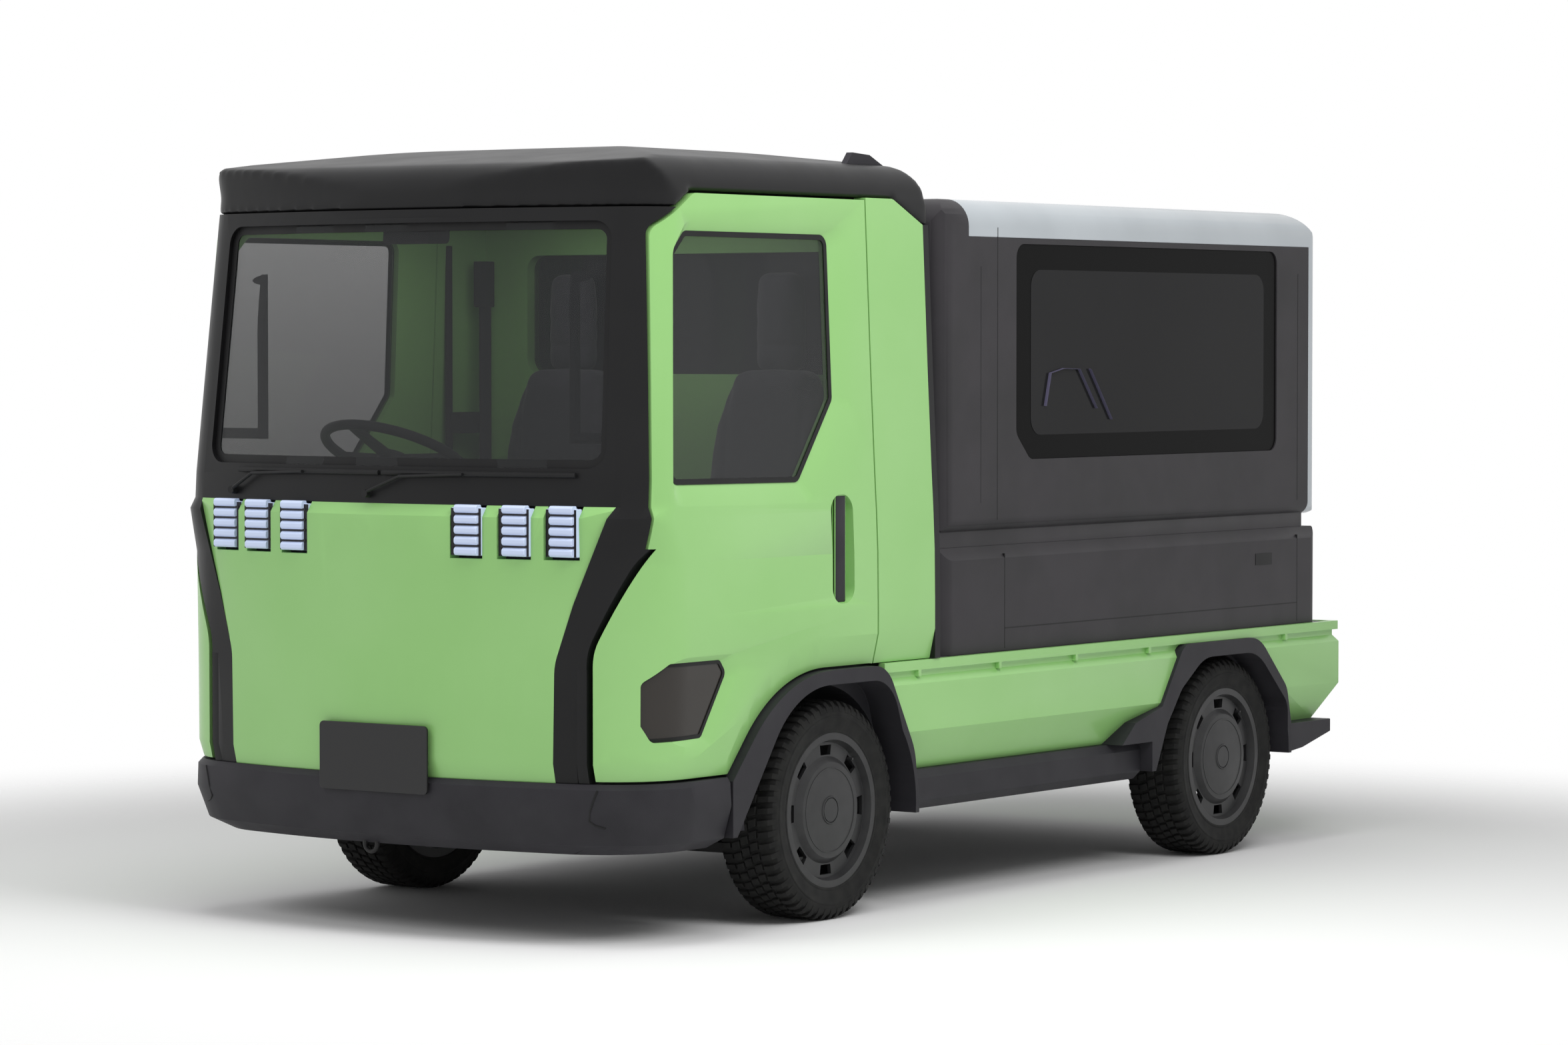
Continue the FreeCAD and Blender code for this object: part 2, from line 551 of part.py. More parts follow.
# Bevelled recesses in the green skin: round both windows of a door, and along the arch to the cab's rear
sizes(
    recess_lift=3, recess_deep=16, recess_inset=8, recess_ahead=5, recess_behind=85, recess_above=32, recess_below=58,
    low_recess_behind=56, low_recess_above=16, low_recess_below=26, arch_band=92, arch_band_deep=18,
)
window_recess = lofted("window_recess", [
    on_flank("window_recess_mouth", window_line(
        "recess_ahead", "recess_behind", "recess_above", "recess_below", "1.5 * window_round"), "-recess_lift"),
    on_flank("window_recess_root", window_line(*["-recess_inset"] * 4), "recess_deep"),
])
low_window_recess = lofted("low_window_recess", [
    put(outline("low_recess_mouth", "YZ", in_box(
        low_window_shares, "(-low_window_front - recess_lift)", "(low_recess_behind - low_window_rear)",
        "(low_window_foot - low_recess_below)", "(low_window_top + low_recess_above)",
    )), x="cab_half_width + recess_lift"),
    put(outline("low_recess_root", "YZ", in_box(
        low_window_shares, "(recess_inset - low_window_front)", "(-low_window_rear - recess_inset)",
        "(low_window_foot + recess_inset)", "(low_window_top - recess_inset)",
    )), x="cab_half_width - recess_deep"),
])


def arch_line(name, grown, place):
    """The front of the wheel arch, then level to behind the cab."""
    sketch = outline(name, "YZ", front_arch(front_arch_shares[:3], grown) + [
        (f"({cab_rear} + overrun)", f"(front_arch_top + {grown})"), (f"({cab_rear} + overrun)", f"(arch_foot - {grown})"),
    ])
    return put(sketch, x=place)


arch_recess = lofted("arch_recess", [
    arch_line("arch_recess_mouth", "arch_band", "cab_half_width + recess_lift"),
    arch_line("arch_recess_root", "0", "cab_half_width - arch_band_deep"),
])
grip_recess = prism("grip_recess", "YZ", [
    ("-grip_recess_front", "grip_recess_foot", "side_round"), ("-grip_recess_rear", "grip_recess_foot", "side_round"),
    ("-grip_recess_rear", "grip_recess_top", "side_round"), ("-grip_recess_front", "grip_recess_top", "side_round"),
], "cab_half_width - grip_recess_deep", "cab_half_width + overrun")
grip_middle = "(-(grip_recess_front + grip_recess_rear) / 2)"
grip = prism("grip", "YZ", [
    (f"{grip_middle} - grip_half", "grip_recess_foot - grip_root", "grip_round"),
    (f"{grip_middle} + grip_half", "grip_recess_foot - grip_root", "grip_round"),
    (f"{grip_middle} + grip_half", "grip_recess_top + grip_root", "grip_round"),
    (f"{grip_middle} - grip_half", "grip_recess_top + grip_root", "grip_round"),
], "cab_half_width - grip_stand - grip_wall", "cab_half_width - grip_stand")
door_blank = common("door_blank", cab_shell, door_side)
door_opened = cut(
    "door_opened", door_blank, lower_pillars_door, door_arch, window_region, low_window_region, grip_recess,
    window_recess, low_window_recess, arch_recess,
)
door_left = keep(fuse("door_left", door_opened, grip))

glass_outside = cab_hull("glass_outside", "glass_inset", f"{cab_rear} - rear_wall / 2")
glass_inside = cab_hull("glass_inside", "glass_inset + glass_wall", f"{cab_rear} - rear_wall / 2 - glass_wall")
glass_shell = cut("glass_shell", glass_outside, glass_inside)
door_left_glass = common("door_left_glass", glass_shell, fuse("door_glass_region", window_region, low_window_region))
keep(door_left_glass)
keep(mirrored("door_right", door_left))
keep(mirrored("door_right_glass", door_left_glass))

# Cab back: the rear wall with its window and the green side behind each door
back_slab = box("back_slab", ("-overall_width", "overall_width"), (f"{door_rear} + moving_gap", f"{cab_rear} - back_depth"),
                ("back_foot", "cab_split - seat_gap"))
keep(cut(
    "cab_back", common("cab_back_blank", cab_shell, back_slab), rear_window_region, roof_region,
    arch_recess, mirrored("arch_recess_right", arch_recess),
))
rear_pane = prism(
    "rear_pane", "XZ", both_sides(rear_window_half_outline), f"{cab_rear} - rear_wall / 2 - glass_wall", f"{cab_rear} - rear_wall / 2")
keep(group("cab_glass", common("windscreen", glass_shell, screen_region), rear_pane))

# Front bumper: a hollow skin of four plan sections, creased along its middle
sizes(
    bumper_foot=215, bumper_lip=241, bumper_crease=318, bumper_shoulder=372, bumper_wall=25,
    bumper_half=737, bumper_setback=7.3, bumper_tuck=75, bumper_corner=222,
)
bumper_rear = f"({front_axle} - front_arch_ahead - moving_gap)"
bumper_nose = f"({front_end} + bumper_setback)"
# Each row: level, share of the half width, share of the tuck at the nose
bumper_level_shares = [
    ("bumper_foot", 0.9, 0.85), ("bumper_lip", 0.97, 0.3), ("bumper_crease", 1, 0), ("bumper_shoulder", 0.996, 0),
    ("cab_foot - seat_gap", 0.985, 0.15),
]


def bumper_hull(name, inset, rear):
    return lofted(name, [
        plan_section(
            f"{name}_level_{number}", level, f"{width} * bumper_half - {inset}",
            f"{bumper_nose} + {tuck} * bumper_tuck + {inset}", f"bumper_corner - {inset}", rear, f"nose_round - {inset}",
        ) for number, (level, width, tuck) in enumerate(bumper_level_shares)
    ])


bumper_outside = bumper_hull("bumper_outside", "0", bumper_rear)
bumper_inside = bumper_hull("bumper_inside", "bumper_wall", f"{bumper_rear} + overrun")
keep(cut("front_bumper", bumper_outside, bumper_inside))

# Cab floor: foot pan, the step up under the seats and the walls beside the wheel wells
sizes(
    floor_wall=15, riser_front=1112, riser_wall=12, well_half=370, floor_gap=1,
)
foot_pan = doc.addObject("Part::Extrusion", "foot_pan")
foot_pan.Base = plan_section(
    "foot_pan_outline", "cab_foot - floor_wall", f"{bumper_level_shares[-1][1]} * bumper_half - bumper_wall - floor_gap",
    f"{bumper_nose} + {bumper_level_shares[-1][2]} * bumper_tuck + bumper_wall + floor_gap", "bumper_corner - bumper_wall", "-riser_front",
)
foot_pan.DirMode = "Normal"
foot_pan.Solid = True
bind(foot_pan, LengthFwd="floor_wall")
riser_face = box("riser_face", ("floor_gap - flare_inside", "flare_inside - floor_gap"), ("-riser_front", "riser_wall - riser_front"),
                 ("cab_foot - floor_wall", "back_foot - floor_wall"))
riser_top = box("riser_top", ("floor_gap - flare_inside", "flare_inside - floor_gap"), ("-riser_front", f"{cab_rear} - back_depth"),
                ("back_foot - floor_wall", "back_foot"))
riser_cheek = box("riser_cheek", ("well_half - riser_wall", "well_half"), ("-riser_front", f"{cab_rear} - rear_wall"),
                  ("cab_foot - floor_wall", "back_foot - floor_wall"))
pan_side = box("pan_side", ("flare_inside - floor_gap", "overall_width"), (f"{front_axle} - front_arch_ahead - floor_gap", "0"),
               ("0", "cab_foot + overrun"))
foot_pan_trimmed = cut("foot_pan_trimmed", foot_pan, pan_side, mirrored("pan_side_right", pan_side))
keep(fuse("cab_floor", foot_pan_trimmed, riser_face, riser_top, riser_cheek, mirrored("riser_cheek_right", riser_cheek)))

# Chassis: two box rails that kick up behind the front axle, tubes between them and arms under the deck
sizes(
    rail_inside=280, rail_width=60, rail_depth=95, rail_front_setback=140, rail_rear_setback=110,
    kick_start=70, kick_run=120, rear_rail_top=450, member_width=60, member_inset=18,
    arm_depth=40, arm_half=640, arm_tip=50, short_arm_half=480, deck_wall=23.7, deck_top=618,
    stay_width=40, hanger_rise=68,
)
front_rail_top = "(cab_foot - floor_wall)"
deck_foot = "(deck_top - deck_wall)"
rail_left = prism("rail_left", "YZ", [
    (f"{front_end} + rail_front_setback", f"{front_rail_top} - rail_depth"),
    (f"{front_axle} + kick_start + rail_depth / 3", f"{front_rail_top} - rail_depth"),
    (f"{front_axle} + kick_start + kick_run + rail_depth / 3", "rear_rail_top - rail_depth"),
    (f"{rear_end} - rail_rear_setback", "rear_rail_top - rail_depth"),
    (f"{rear_end} - rail_rear_setback", "rear_rail_top"),
    (f"{front_axle} + kick_start + kick_run", "rear_rail_top"),
    (f"{front_axle} + kick_start", front_rail_top),
    (f"{front_end} + rail_front_setback", front_rail_top),
], "rail_inside", "rail_inside + rail_width")
# Places of the cross tubes and deck arms, as shares of the wheelbase behind the front axle
front_tube_shares = [-0.38, -0.12]
rear_tube_shares = [0.4, 0.75, 1.2]
deck_arm_shares = [0.26, 0.55, 0.83, 1.174]
tubes = []
for number, share in enumerate(front_tube_shares + rear_tube_shares):
    middle = f"({front_axle} + {share} * wheelbase)"
    top = front_rail_top if share in front_tube_shares else "rear_rail_top"
    tubes.append(box(
        f"cross_tube_{number}", ("-rail_inside", "rail_inside"), (f"{middle} - member_width / 2", f"{middle} + member_width / 2"),
        (f"{top} - rail_depth + member_inset", f"{top} - member_inset"),
    ))
for number, share in enumerate(deck_arm_shares + [1]):
    half = "arm_half" if share in deck_arm_shares else "short_arm_half"
    middle = f"({front_axle} + {share} * wheelbase)"
    tubes.append(prism(f"deck_arm_{number}", "XZ", both_sides([
        ("rail_inside + rail_width", "rear_rail_top"), (half, f"{deck_foot} - arm_tip"), (half, deck_foot),
    ]), f"{middle} - arm_depth / 2", f"{middle} + arm_depth / 2"))

bumper_stay = common("bumper_stay", bumper_inside, box(
    "bumper_stay_bar",
    ("rail_inside + (rail_width - stay_width) / 2", "rail_inside + (rail_width + stay_width) / 2"),
    (side_front, f"{front_end} + rail_front_setback + overrun"),
    (f"{front_rail_top} - rail_depth + member_inset", f"{front_rail_top} - member_inset"),
))

# Blank number plate on the bumper
sizes(plate_half=165, plate_foot=345, plate_top=507, plate_wall=7, plate_round=12)
keep(prism("number_plate", "XZ", both_sides([
    ("plate_half", "plate_foot", "plate_round"), ("plate_half", "plate_top", "plate_round"),
]), front_end, f"{front_end} + plate_wall"))

# Engine: one plain block behind the front axle under the seats, hung between the rails
sizes(engine_half=225, engine_front=740, engine_rear=350, engine_foot=215, engine_top=565, lug_width=60, lug_wall=30)
engine_middle = "(-(engine_front + engine_rear) / 2)"
keep(fuse(
    "engine_block",
    box("engine_body", ("-engine_half", "engine_half"), ("-engine_front", "-engine_rear"), ("engine_foot", "engine_top")),
    box("engine_lugs", ("-rail_inside", "rail_inside"), (f"{engine_middle} - lug_width / 2", f"{engine_middle} + lug_width / 2"),
        ("rear_rail_top - rail_depth + member_inset", "rear_rail_top - rail_depth + member_inset + lug_wall")),
))

# Front suspension: cross beam, lower and upper arms, and a strut with its spring a side
sizes(
    kingpin_place=585, kingpin_radius=15, arm_foot=150, arm_wall=25, arm_eye=26, arm_root=60, beam_half=345,
    beam_width=90, strut_place=440, strut_radius=24, spring_radius=45, spring_foot=400, upper_arm_foot=375,
    liner_radius=305, liner_wall=8, liner_inside=375, rear_liner_radius=285, rear_liner_inside=500,
)
beam = box("beam", ("-beam_half", "beam_half"), (f"{front_axle} - beam_width / 2", f"{front_axle} + beam_width / 2"),
           ("arm_foot", f"{front_rail_top} - rail_depth"))
lower_arm = prism("lower_arm", "XY", [
    ("beam_half / 2", f"{front_axle} - arm_root"), ("kingpin_place", f"{front_axle} - arm_wall"),
    ("kingpin_place", f"{front_axle} + arm_wall"), ("beam_half / 2", f"{front_axle} + arm_root"),
], "arm_foot", "arm_foot + arm_wall")
lower_eye = rod("lower_eye", "Z", "arm_eye", "arm_wall", "kingpin_place", front_axle, "arm_foot")
upper_arm = box("upper_arm", ("strut_place", "kingpin_place"), (f"{front_axle} - arm_eye", f"{front_axle} + arm_eye"),
                ("upper_arm_foot", "upper_arm_foot + arm_wall"))
upper_eye = rod("upper_eye", "Z", "arm_eye", "arm_wall", "kingpin_place", front_axle, "upper_arm_foot")
strut_top = "(tyre_radius + sqrt(liner_radius * liner_radius - spring_radius * spring_radius) - seat_gap)"
strut = rod("strut", "Z", "strut_radius", f"{strut_top} - arm_foot", "strut_place", front_axle, "arm_foot")
spring = rod("spring", "Z", "spring_radius", f"{strut_top} - spring_foot", "strut_place", front_axle, "spring_foot")
arms_left = fuse("arms_left", lower_arm, lower_eye, upper_arm, upper_eye, strut, spring)
keep(fuse("front_suspension", beam, arms_left, mirrored("arms_right", arms_left)))

# Rear axle: tube with its drive housing, leaf springs, spring eyes, drive shaft and brake plates
sizes(
    axle_tube_radius=35, axle_tube_half=575, drive_radius=110, spindle_radius=17, spindle_end=652, brake_radius=110,
    brake_wall=5, leaf_place=400, leaf_width=55, leaf_reach=470, leaf_wall=18, leaf_rise=88, leaf_bend=1500,
    eye_radius=22, shaft_radius=30, shaft_drop=25, hanger_half=25,
)
leaf_low = "(tyre_radius - axle_tube_radius - leaf_wall / 2)"
leaf = prism("leaf", "YZ", [
    (f"{rear_axle} - leaf_reach", f"{leaf_low} + leaf_rise"), (rear_axle, leaf_low, "leaf_bend"),
    (f"{rear_axle} + leaf_reach", f"{leaf_low} + leaf_rise"),
    (f"{rear_axle} + leaf_reach", f"{leaf_low} + leaf_rise + leaf_wall"), (rear_axle, f"{leaf_low} + leaf_wall", "leaf_bend"),
    (f"{rear_axle} - leaf_reach", f"{leaf_low} + leaf_rise + leaf_wall"),
], "leaf_place", "leaf_place + leaf_width")
eye_height = f"({leaf_low} + leaf_rise + leaf_wall / 2)"
leaf_eyes = [
    rod(f"leaf_eye_{end}", "X", "eye_radius", "leaf_width", "leaf_place", f"{rear_axle} {end_sign} leaf_reach", eye_height)
    for end, end_sign in (("front", "-"), ("rear", "+"))
]
axle_side = fuse(
    "axle_side", leaf, *leaf_eyes,
    rod("axle_tube", "X", "axle_tube_radius", "axle_tube_half", "0", rear_axle, "tyre_radius"),
    rod("brake_plate", "X", "brake_radius", "brake_wall", "axle_tube_half", rear_axle, "tyre_radius"),
    rod("rear_spindle", "X", "spindle_radius", "spindle_end - axle_tube_half", "axle_tube_half", rear_axle, "tyre_radius"),
)
drive_housing = put(bind(doc.addObject("Part::Sphere", "drive_housing"), Radius="drive_radius"), "0", rear_axle, "tyre_radius")
drive_shaft = rod("drive_shaft", "Y", "shaft_radius", f"{rear_axle} + engine_rear", "0", "-engine_rear + seat_gap", "tyre_radius + shaft_drop")
keep(fuse("rear_axle", axle_side, mirrored("axle_side_right", axle_side), drive_housing, drive_shaft))
hangers = [
    box(f"hanger_{end}", ("rail_inside + rail_width / 2", "leaf_place + leaf_width"),
        (f"{rear_axle} {end_sign} leaf_reach - hanger_half", f"{rear_axle} {end_sign} leaf_reach + hanger_half"),
        (f"{eye_height} + eye_radius + seat_gap", f"{eye_height} + eye_radius + seat_gap + hanger_rise"))
    for end, end_sign in (("front", "-"), ("rear", "+"))
]
frame_side = fuse("frame_side", rail_left, bumper_stay, *hangers)
keep(group("chassis_frame", frame_side, mirrored("frame_side_right", frame_side)))
keep(group("chassis_members", *tubes))

# Knuckles: kingpin boss, brake plate, spindle and steering arm
sizes(steer_arm_reach=100, steer_arm_width=24, steer_arm_rise=20, knuckle_plate_place=592, knuckle_plate_radius=85)
knuckle_left = fuse(
    "knuckle_left",
    rod("kingpin", "Z", "kingpin_radius", "upper_arm_foot - arm_foot - arm_wall - 2 * seat_gap", "kingpin_place", front_axle,
        "arm_foot + arm_wall + seat_gap"),
    rod("front_brake_plate", "X", "knuckle_plate_radius", "brake_wall", "knuckle_plate_place", front_axle, "tyre_radius"),
    rod("front_spindle", "X", "spindle_radius", "spindle_end - kingpin_place", "kingpin_place", front_axle, "tyre_radius"),
    box("steer_arm", ("kingpin_place - steer_arm_width", "kingpin_place"), (front_axle, f"{front_axle} + steer_arm_reach"),
        ("arm_foot + arm_wall + steer_arm_rise", "arm_foot + arm_wall + 2 * steer_arm_rise")),
)
keep(knuckle_left)
keep(mirrored("knuckle_right", knuckle_left))

# Wheels: tyre, and a black steel wheel with a round cover and windows around it
sizes(
    rim_lip=189, rim_half=76, barrel_radius=165, disc_place=48, disc_wall=10, cover_radius=131, cover_dome=14, wall_bulge=243,
    hub_radius=34, hub_foot=-10, spindle_gap=0.3, tread_half=66, bead_radius=181, bead_half=66,
    vent_inner=134, vent_outer=158, vent_half=24, wheel_vents=8, rim_step=12,
)
tyre_half_outline = [("tread_half", "tyre_radius"), ("tyre_width / 2", "wall_bulge"), ("bead_half", "bead_radius")]
wheel_outline = [
    ("-rim_half", "barrel_radius"), ("disc_place", "barrel_radius"), ("disc_place", "hub_radius"), ("hub_foot", "hub_radius"),
    ("hub_foot", "spindle_radius + spindle_gap"), ("disc_place + disc_wall / 2", "spindle_radius + spindle_gap"),
    ("disc_place + disc_wall / 2", "0"), ("disc_place + disc_wall + cover_dome", "0"),
    ("disc_place + disc_wall + cover_dome", "cover_radius - cover_dome"), ("disc_place + disc_wall", "cover_radius"), ("disc_place + disc_wall", "barrel_radius"),
    ("rim_half", "rim_radius - rim_step / 2"), ("rim_half", "rim_lip"), ("rim_half - rim_step / 2", "rim_lip"),
    ("bead_half", "bead_radius - seat_gap"), ("rim_half - 3 * rim_step", "rim_radius - rim_step / 2"),
    ("3 * rim_step - rim_half", "rim_radius - rim_step / 2"),
    ("-bead_half", "bead_radius - seat_gap"), ("rim_step / 2 - rim_half", "rim_lip"), ("-rim_half", "rim_lip"),
]


def spun(name, points):
    """A body turned about the X axis from a half section."""
    body = doc.addObject("PartDesign::Body", name)
    sketch = body.newObject("Sketcher::SketchObject", name + "_section")
    plane = [item for item in body.Origin.OriginFeatures if item.Role == "XY_Plane"][0]
    sketch.AttachmentSupport = (plane, "")
    sketch.MapMode = "FlatFace"
    draw_outline(sketch, points)
    turned = body.newObject("PartDesign::Revolution", name + "_turned")
    turned.Profile = sketch
    turned.ReferenceAxis = (sketch, ["H_Axis"])
    turned.Angle = 360
    return body


def vented(body):
    """Cuts one window through the wheel's disc and repeats it around the hub."""
    name = body.Name
    sketch = body.newObject("Sketcher::SketchObject", name + "_vent_outline")
    plane = [item for item in body.Origin.OriginFeatures if item.Role == "YZ_Plane"][0]
    sketch.AttachmentSupport = (plane, "")
    sketch.MapMode = "FlatFace"
    draw_outline(sketch, [
        ("-vent_half * vent_inner / vent_outer", "vent_inner"), ("vent_half * vent_inner / vent_outer", "vent_inner"),
        ("vent_half", "vent_outer"), ("-vent_half", "vent_outer"),
    ])
    pocket = body.newObject("PartDesign::Pocket", name + "_vent")
    pocket.Profile = sketch
    pocket.Type = "ThroughAll"
    pocket.Reversed = True
    doc.recompute()
    pattern = body.newObject("PartDesign::PolarPattern", name + "_vents")
    pattern.Originals = [pocket]
    pattern.Axis = ([item for item in body.Origin.OriginFeatures if item.Role == "X_Axis"][0], "")
    pattern.Angle = 360
    bind(pattern, Occurrences="wheel_vents")
    body.Tip = pattern
    return body


wheel_places = {"fl": (1, front_axle), "fr": (-1, front_axle), "rl": (1, rear_axle), "rr": (-1, rear_axle)}
for corner, (side, axle) in wheel_places.items():
    tyre = spun(f"tyre_{corner}", tyre_half_outline + [
        ("-bead_half", "bead_radius"), ("-tyre_width / 2", "wall_bulge"), ("-tread_half", "tyre_radius"),
    ])
    wheel = vented(spun(f"wheel_{corner}", wheel_outline))
    for piece in (tyre, wheel):
        if side < 0:
            piece.Placement = FreeCAD.Placement(FreeCAD.Vector(), FreeCAD.Rotation(FreeCAD.Vector(0, 0, 1), 180))
        keep(put(piece, f"{side} * {wheel_middle}", axle, "tyre_radius"))

# Arch flares: black lips round each wheel opening with the liner behind


def flare(name, arch, arch_shares, mouth_shares, axle, radius, inside):
    lip = prism(f"{name}_lip", "YZ", arch(arch_shares), "flare_inside", "overall_width / 2")
    mouth = prism(f"{name}_mouth", "YZ", arch(mouth_shares), "flare_inside + flare_web", "overall_width / 2 + overrun")
    ring = cut(
        f"{name}_ring",
        rod(f"{name}_ring_outside", "X", f"{radius} + liner_wall", f"flare_inside + flare_web - ({inside})", inside, axle, "tyre_radius"),
        box(f"{name}_ring_foot", (f"{inside} - overrun", "flare_inside + overrun"), (f"{axle} - 2 * {radius}", f"{axle} + 2 * {radius}"),
            ("-2 * overrun", "tyre_radius")),
    )
    well = rod(f"{name}_well", "X", radius, f"overall_width / 2 + 2 * overrun - ({inside})", f"{inside} - overrun", axle, "tyre_radius")
    return cut(name, fuse(f"{name}_blank", cut(f"{name}_open_lip", lip, mouth), ring), well)


front_flare = flare("front_flare", front_arch, front_arch_shares, front_mouth_shares, front_axle, "liner_radius", "liner_inside")
rear_flare = flare("rear_flare", rear_arch, rear_arch_shares, rear_mouth_shares, rear_axle, "rear_liner_radius", "rear_liner_inside")
keep(group(
    "arch_flares", front_flare, rear_flare, mirrored("front_flare_right", front_flare), mirrored("rear_flare_right", rear_flare),
))

# Side sills between the arches
sizes(sill_half=700, sill_inside=560, sill_foot=240, sill_chamfer=22)
sill_top = "(rear_arch_foot + 0.24 * (rear_arch_top - rear_arch_foot) - seat_gap)"
sill_left = prism("sill_left", "XZ", [
    ("sill_inside", "sill_foot"), ("sill_half - sill_chamfer", "sill_foot"), ("sill_half", "sill_foot + sill_chamfer"),
    ("sill_half", f"{sill_top} - sill_chamfer"), ("sill_half - sill_chamfer / 2", sill_top), ("sill_inside", sill_top),
], f"{front_axle} + front_arch_behind + seat_gap", f"{rear_axle} - rear_arch_ahead + 0.17 * (rear_arch_ahead + rear_arch_behind) - seat_gap")
keep(group("side_sills", sill_left, mirrored("sill_right", sill_left)))

# Deck: a flat floor, and green skirts round it with the rail, its hooks and the rear panel
sizes(
    deck_front=358, deck_half=694.7, rail_half=725, rail_foot=594, groove_half=713, groove_foot=578, bevel_foot=560,
    skirt_half=728, skirt_waist=442, skirt_foot=342, skirt_tuck=56, skirt_wall=18, skirt_front=606, tail_tuck=60,
    hook_width=12, hook_pitch=370, hook_first=449, hook_count=6,
)
keep(box("load_deck", ("-deck_half", "deck_half"), ("-deck_front", f"{rear_end} - skirt_wall - rail_half + deck_half"),
         (deck_foot, "deck_top")))


def skirt_hull(name, inset, foot, top):
    """The deck's tray: its side profile and its rear profile, crossed so that they mitre at the rear corners."""
    slope = f"(skirt_waist - ({foot})) / (skirt_waist - skirt_foot)"
    across = prism(f"{name}_across", "XZ", both_sides([
        (f"skirt_half - skirt_tuck * {slope} - {inset}", foot), (f"skirt_half - {inset}", "skirt_waist"),
        (f"skirt_half - {inset}", "bevel_foot"), (f"groove_half - {inset}", "groove_foot"),
        (f"groove_half - {inset}", "rail_foot"), (f"rail_half - {inset}", "rail_foot"), (f"rail_half - {inset}", top),
    ]), "-skirt_front - overrun", f"{rear_end} + overrun")
    along = prism(f"{name}_along", "YZ", [
        ("-skirt_front", foot), (f"{rear_end} - tail_tuck * {slope} - {inset}", foot), (f"{rear_end} - {inset}", "skirt_waist"),
        (f"{rear_end} - {inset}", "bevel_foot"), (f"{rear_end} - rail_half + groove_half - {inset}", "groove_foot"),
        (f"{rear_end} - rail_half + groove_half - {inset}", "rail_foot"), (f"{rear_end} - {inset}", "rail_foot"),
        (f"{rear_end} - {inset}", top), ("-skirt_front", top),
    ], "-skirt_half - overrun", "skirt_half + overrun")
    return common(name, across, along)


skirt_outside = skirt_hull("skirt_outside", "0", "skirt_foot", "deck_top")
skirt_inside = skirt_hull("skirt_inside", "skirt_wall", "skirt_foot - overrun", "deck_top + overrun")
skirt_mouth = box("skirt_mouth", ("-deck_half", "deck_half"), ("-skirt_front - overrun", f"{rear_end} - skirt_wall - rail_half + deck_half + seat_gap"),
                  (f"{deck_foot} - overrun", "deck_top + overrun"))
rear_arch_tool = prism("rear_arch_tool", "YZ", rear_arch(rear_arch_shares, "seat_gap"), "-overall_width", "overall_width")
front_arch_tool = prism("front_arch_tool", "YZ", front_arch(front_arch_shares, "seat_gap"), "-overall_width", "overall_width")
hooks = []
for number in range(int(value("hook_count"))):
    middle = f"(hook_pitch * {number} - hook_first)"
    hooks.append(box(f"hook_{number}", ("groove_half - skirt_wall / 2", "rail_half"), (f"{middle} - hook_width / 2", f"{middle} + hook_width / 2"),
                     ("groove_foot", "rail_foot + skirt_wall / 2")))
left_hooks = fuse("left_hooks", *hooks)
skirt_blank = fuse("skirt_blank", cut("skirt_shell", skirt_outside, skirt_inside, skirt_mouth), left_hooks, mirrored("right_hooks", left_hooks))

# Tail lamps: an upright cluster a side, let into the rear panel
sizes(
    tail_lamp_inner=560, tail_lamp_outer=690, tail_lamp_foot=452, tail_lamp_top=552, tail_lamp_wall=8,
    plate_bolt_radius=3.5, plate_bolt_pitch=210, plate_bolt_height=500,
)
tail_lamp = box("tail_lamp", ("tail_lamp_inner", "tail_lamp_outer"), (f"{rear_end} - tail_lamp_wall", rear_end),
                ("tail_lamp_foot", "tail_lamp_top"))
tail_lamp_right = mirrored("tail_lamp_right", tail_lamp)
plate_bolt = rod("plate_bolt", "Y", "plate_bolt_radius", "skirt_wall + overrun", "plate_bolt_pitch / 2", f"{rear_end} - skirt_wall - overrun / 2", "plate_bolt_height")
plate_bolt_right = mirrored("plate_bolt_right", plate_bolt)
keep(cut("deck_skirts", skirt_blank, rear_arch_tool, front_arch_tool, tail_lamp, tail_lamp_right, plate_bolt, plate_bolt_right))
keep(group("tail_lamps", tail_lamp, tail_lamp_right))

# Rear bumper: a low dark bar whose ends run forward to the rear wheels, clear of the springs between them
sizes(
    rear_bumper_drop=80, rear_bumper_front=1413, rear_bumper_run=200, rear_bumper_tip=40, rear_bumper_wall=16,
    rear_bumper_inside=540, rear_bumper_bar=1610,
)
rear_bumper_side = prism("rear_bumper_side", "YZ", [
    ("rear_bumper_front", "skirt_foot - seat_gap - rear_bumper_drop"),
    (f"{rear_end} - rear_bumper_run", "skirt_foot - 0.9 * rear_bumper_drop"),
    (f"{rear_end} - rear_bumper_tip", "skirt_foot - rear_bumper_wall - rear_bumper_tip / 2"),
    (f"{rear_end} - rear_bumper_tip", "skirt_foot - seat_gap"), ("rear_bumper_front", "skirt_foot - seat_gap"),
], "-rail_half", "rail_half")
keep(cut("rear_bumper", rear_bumper_side, box(
    "spring_room", ("-rear_bumper_inside", "rear_bumper_inside"), ("rear_bumper_front - overrun", "rear_bumper_bar"),
    ("skirt_foot - 2 * rear_bumper_drop", "skirt_foot + overrun"))))

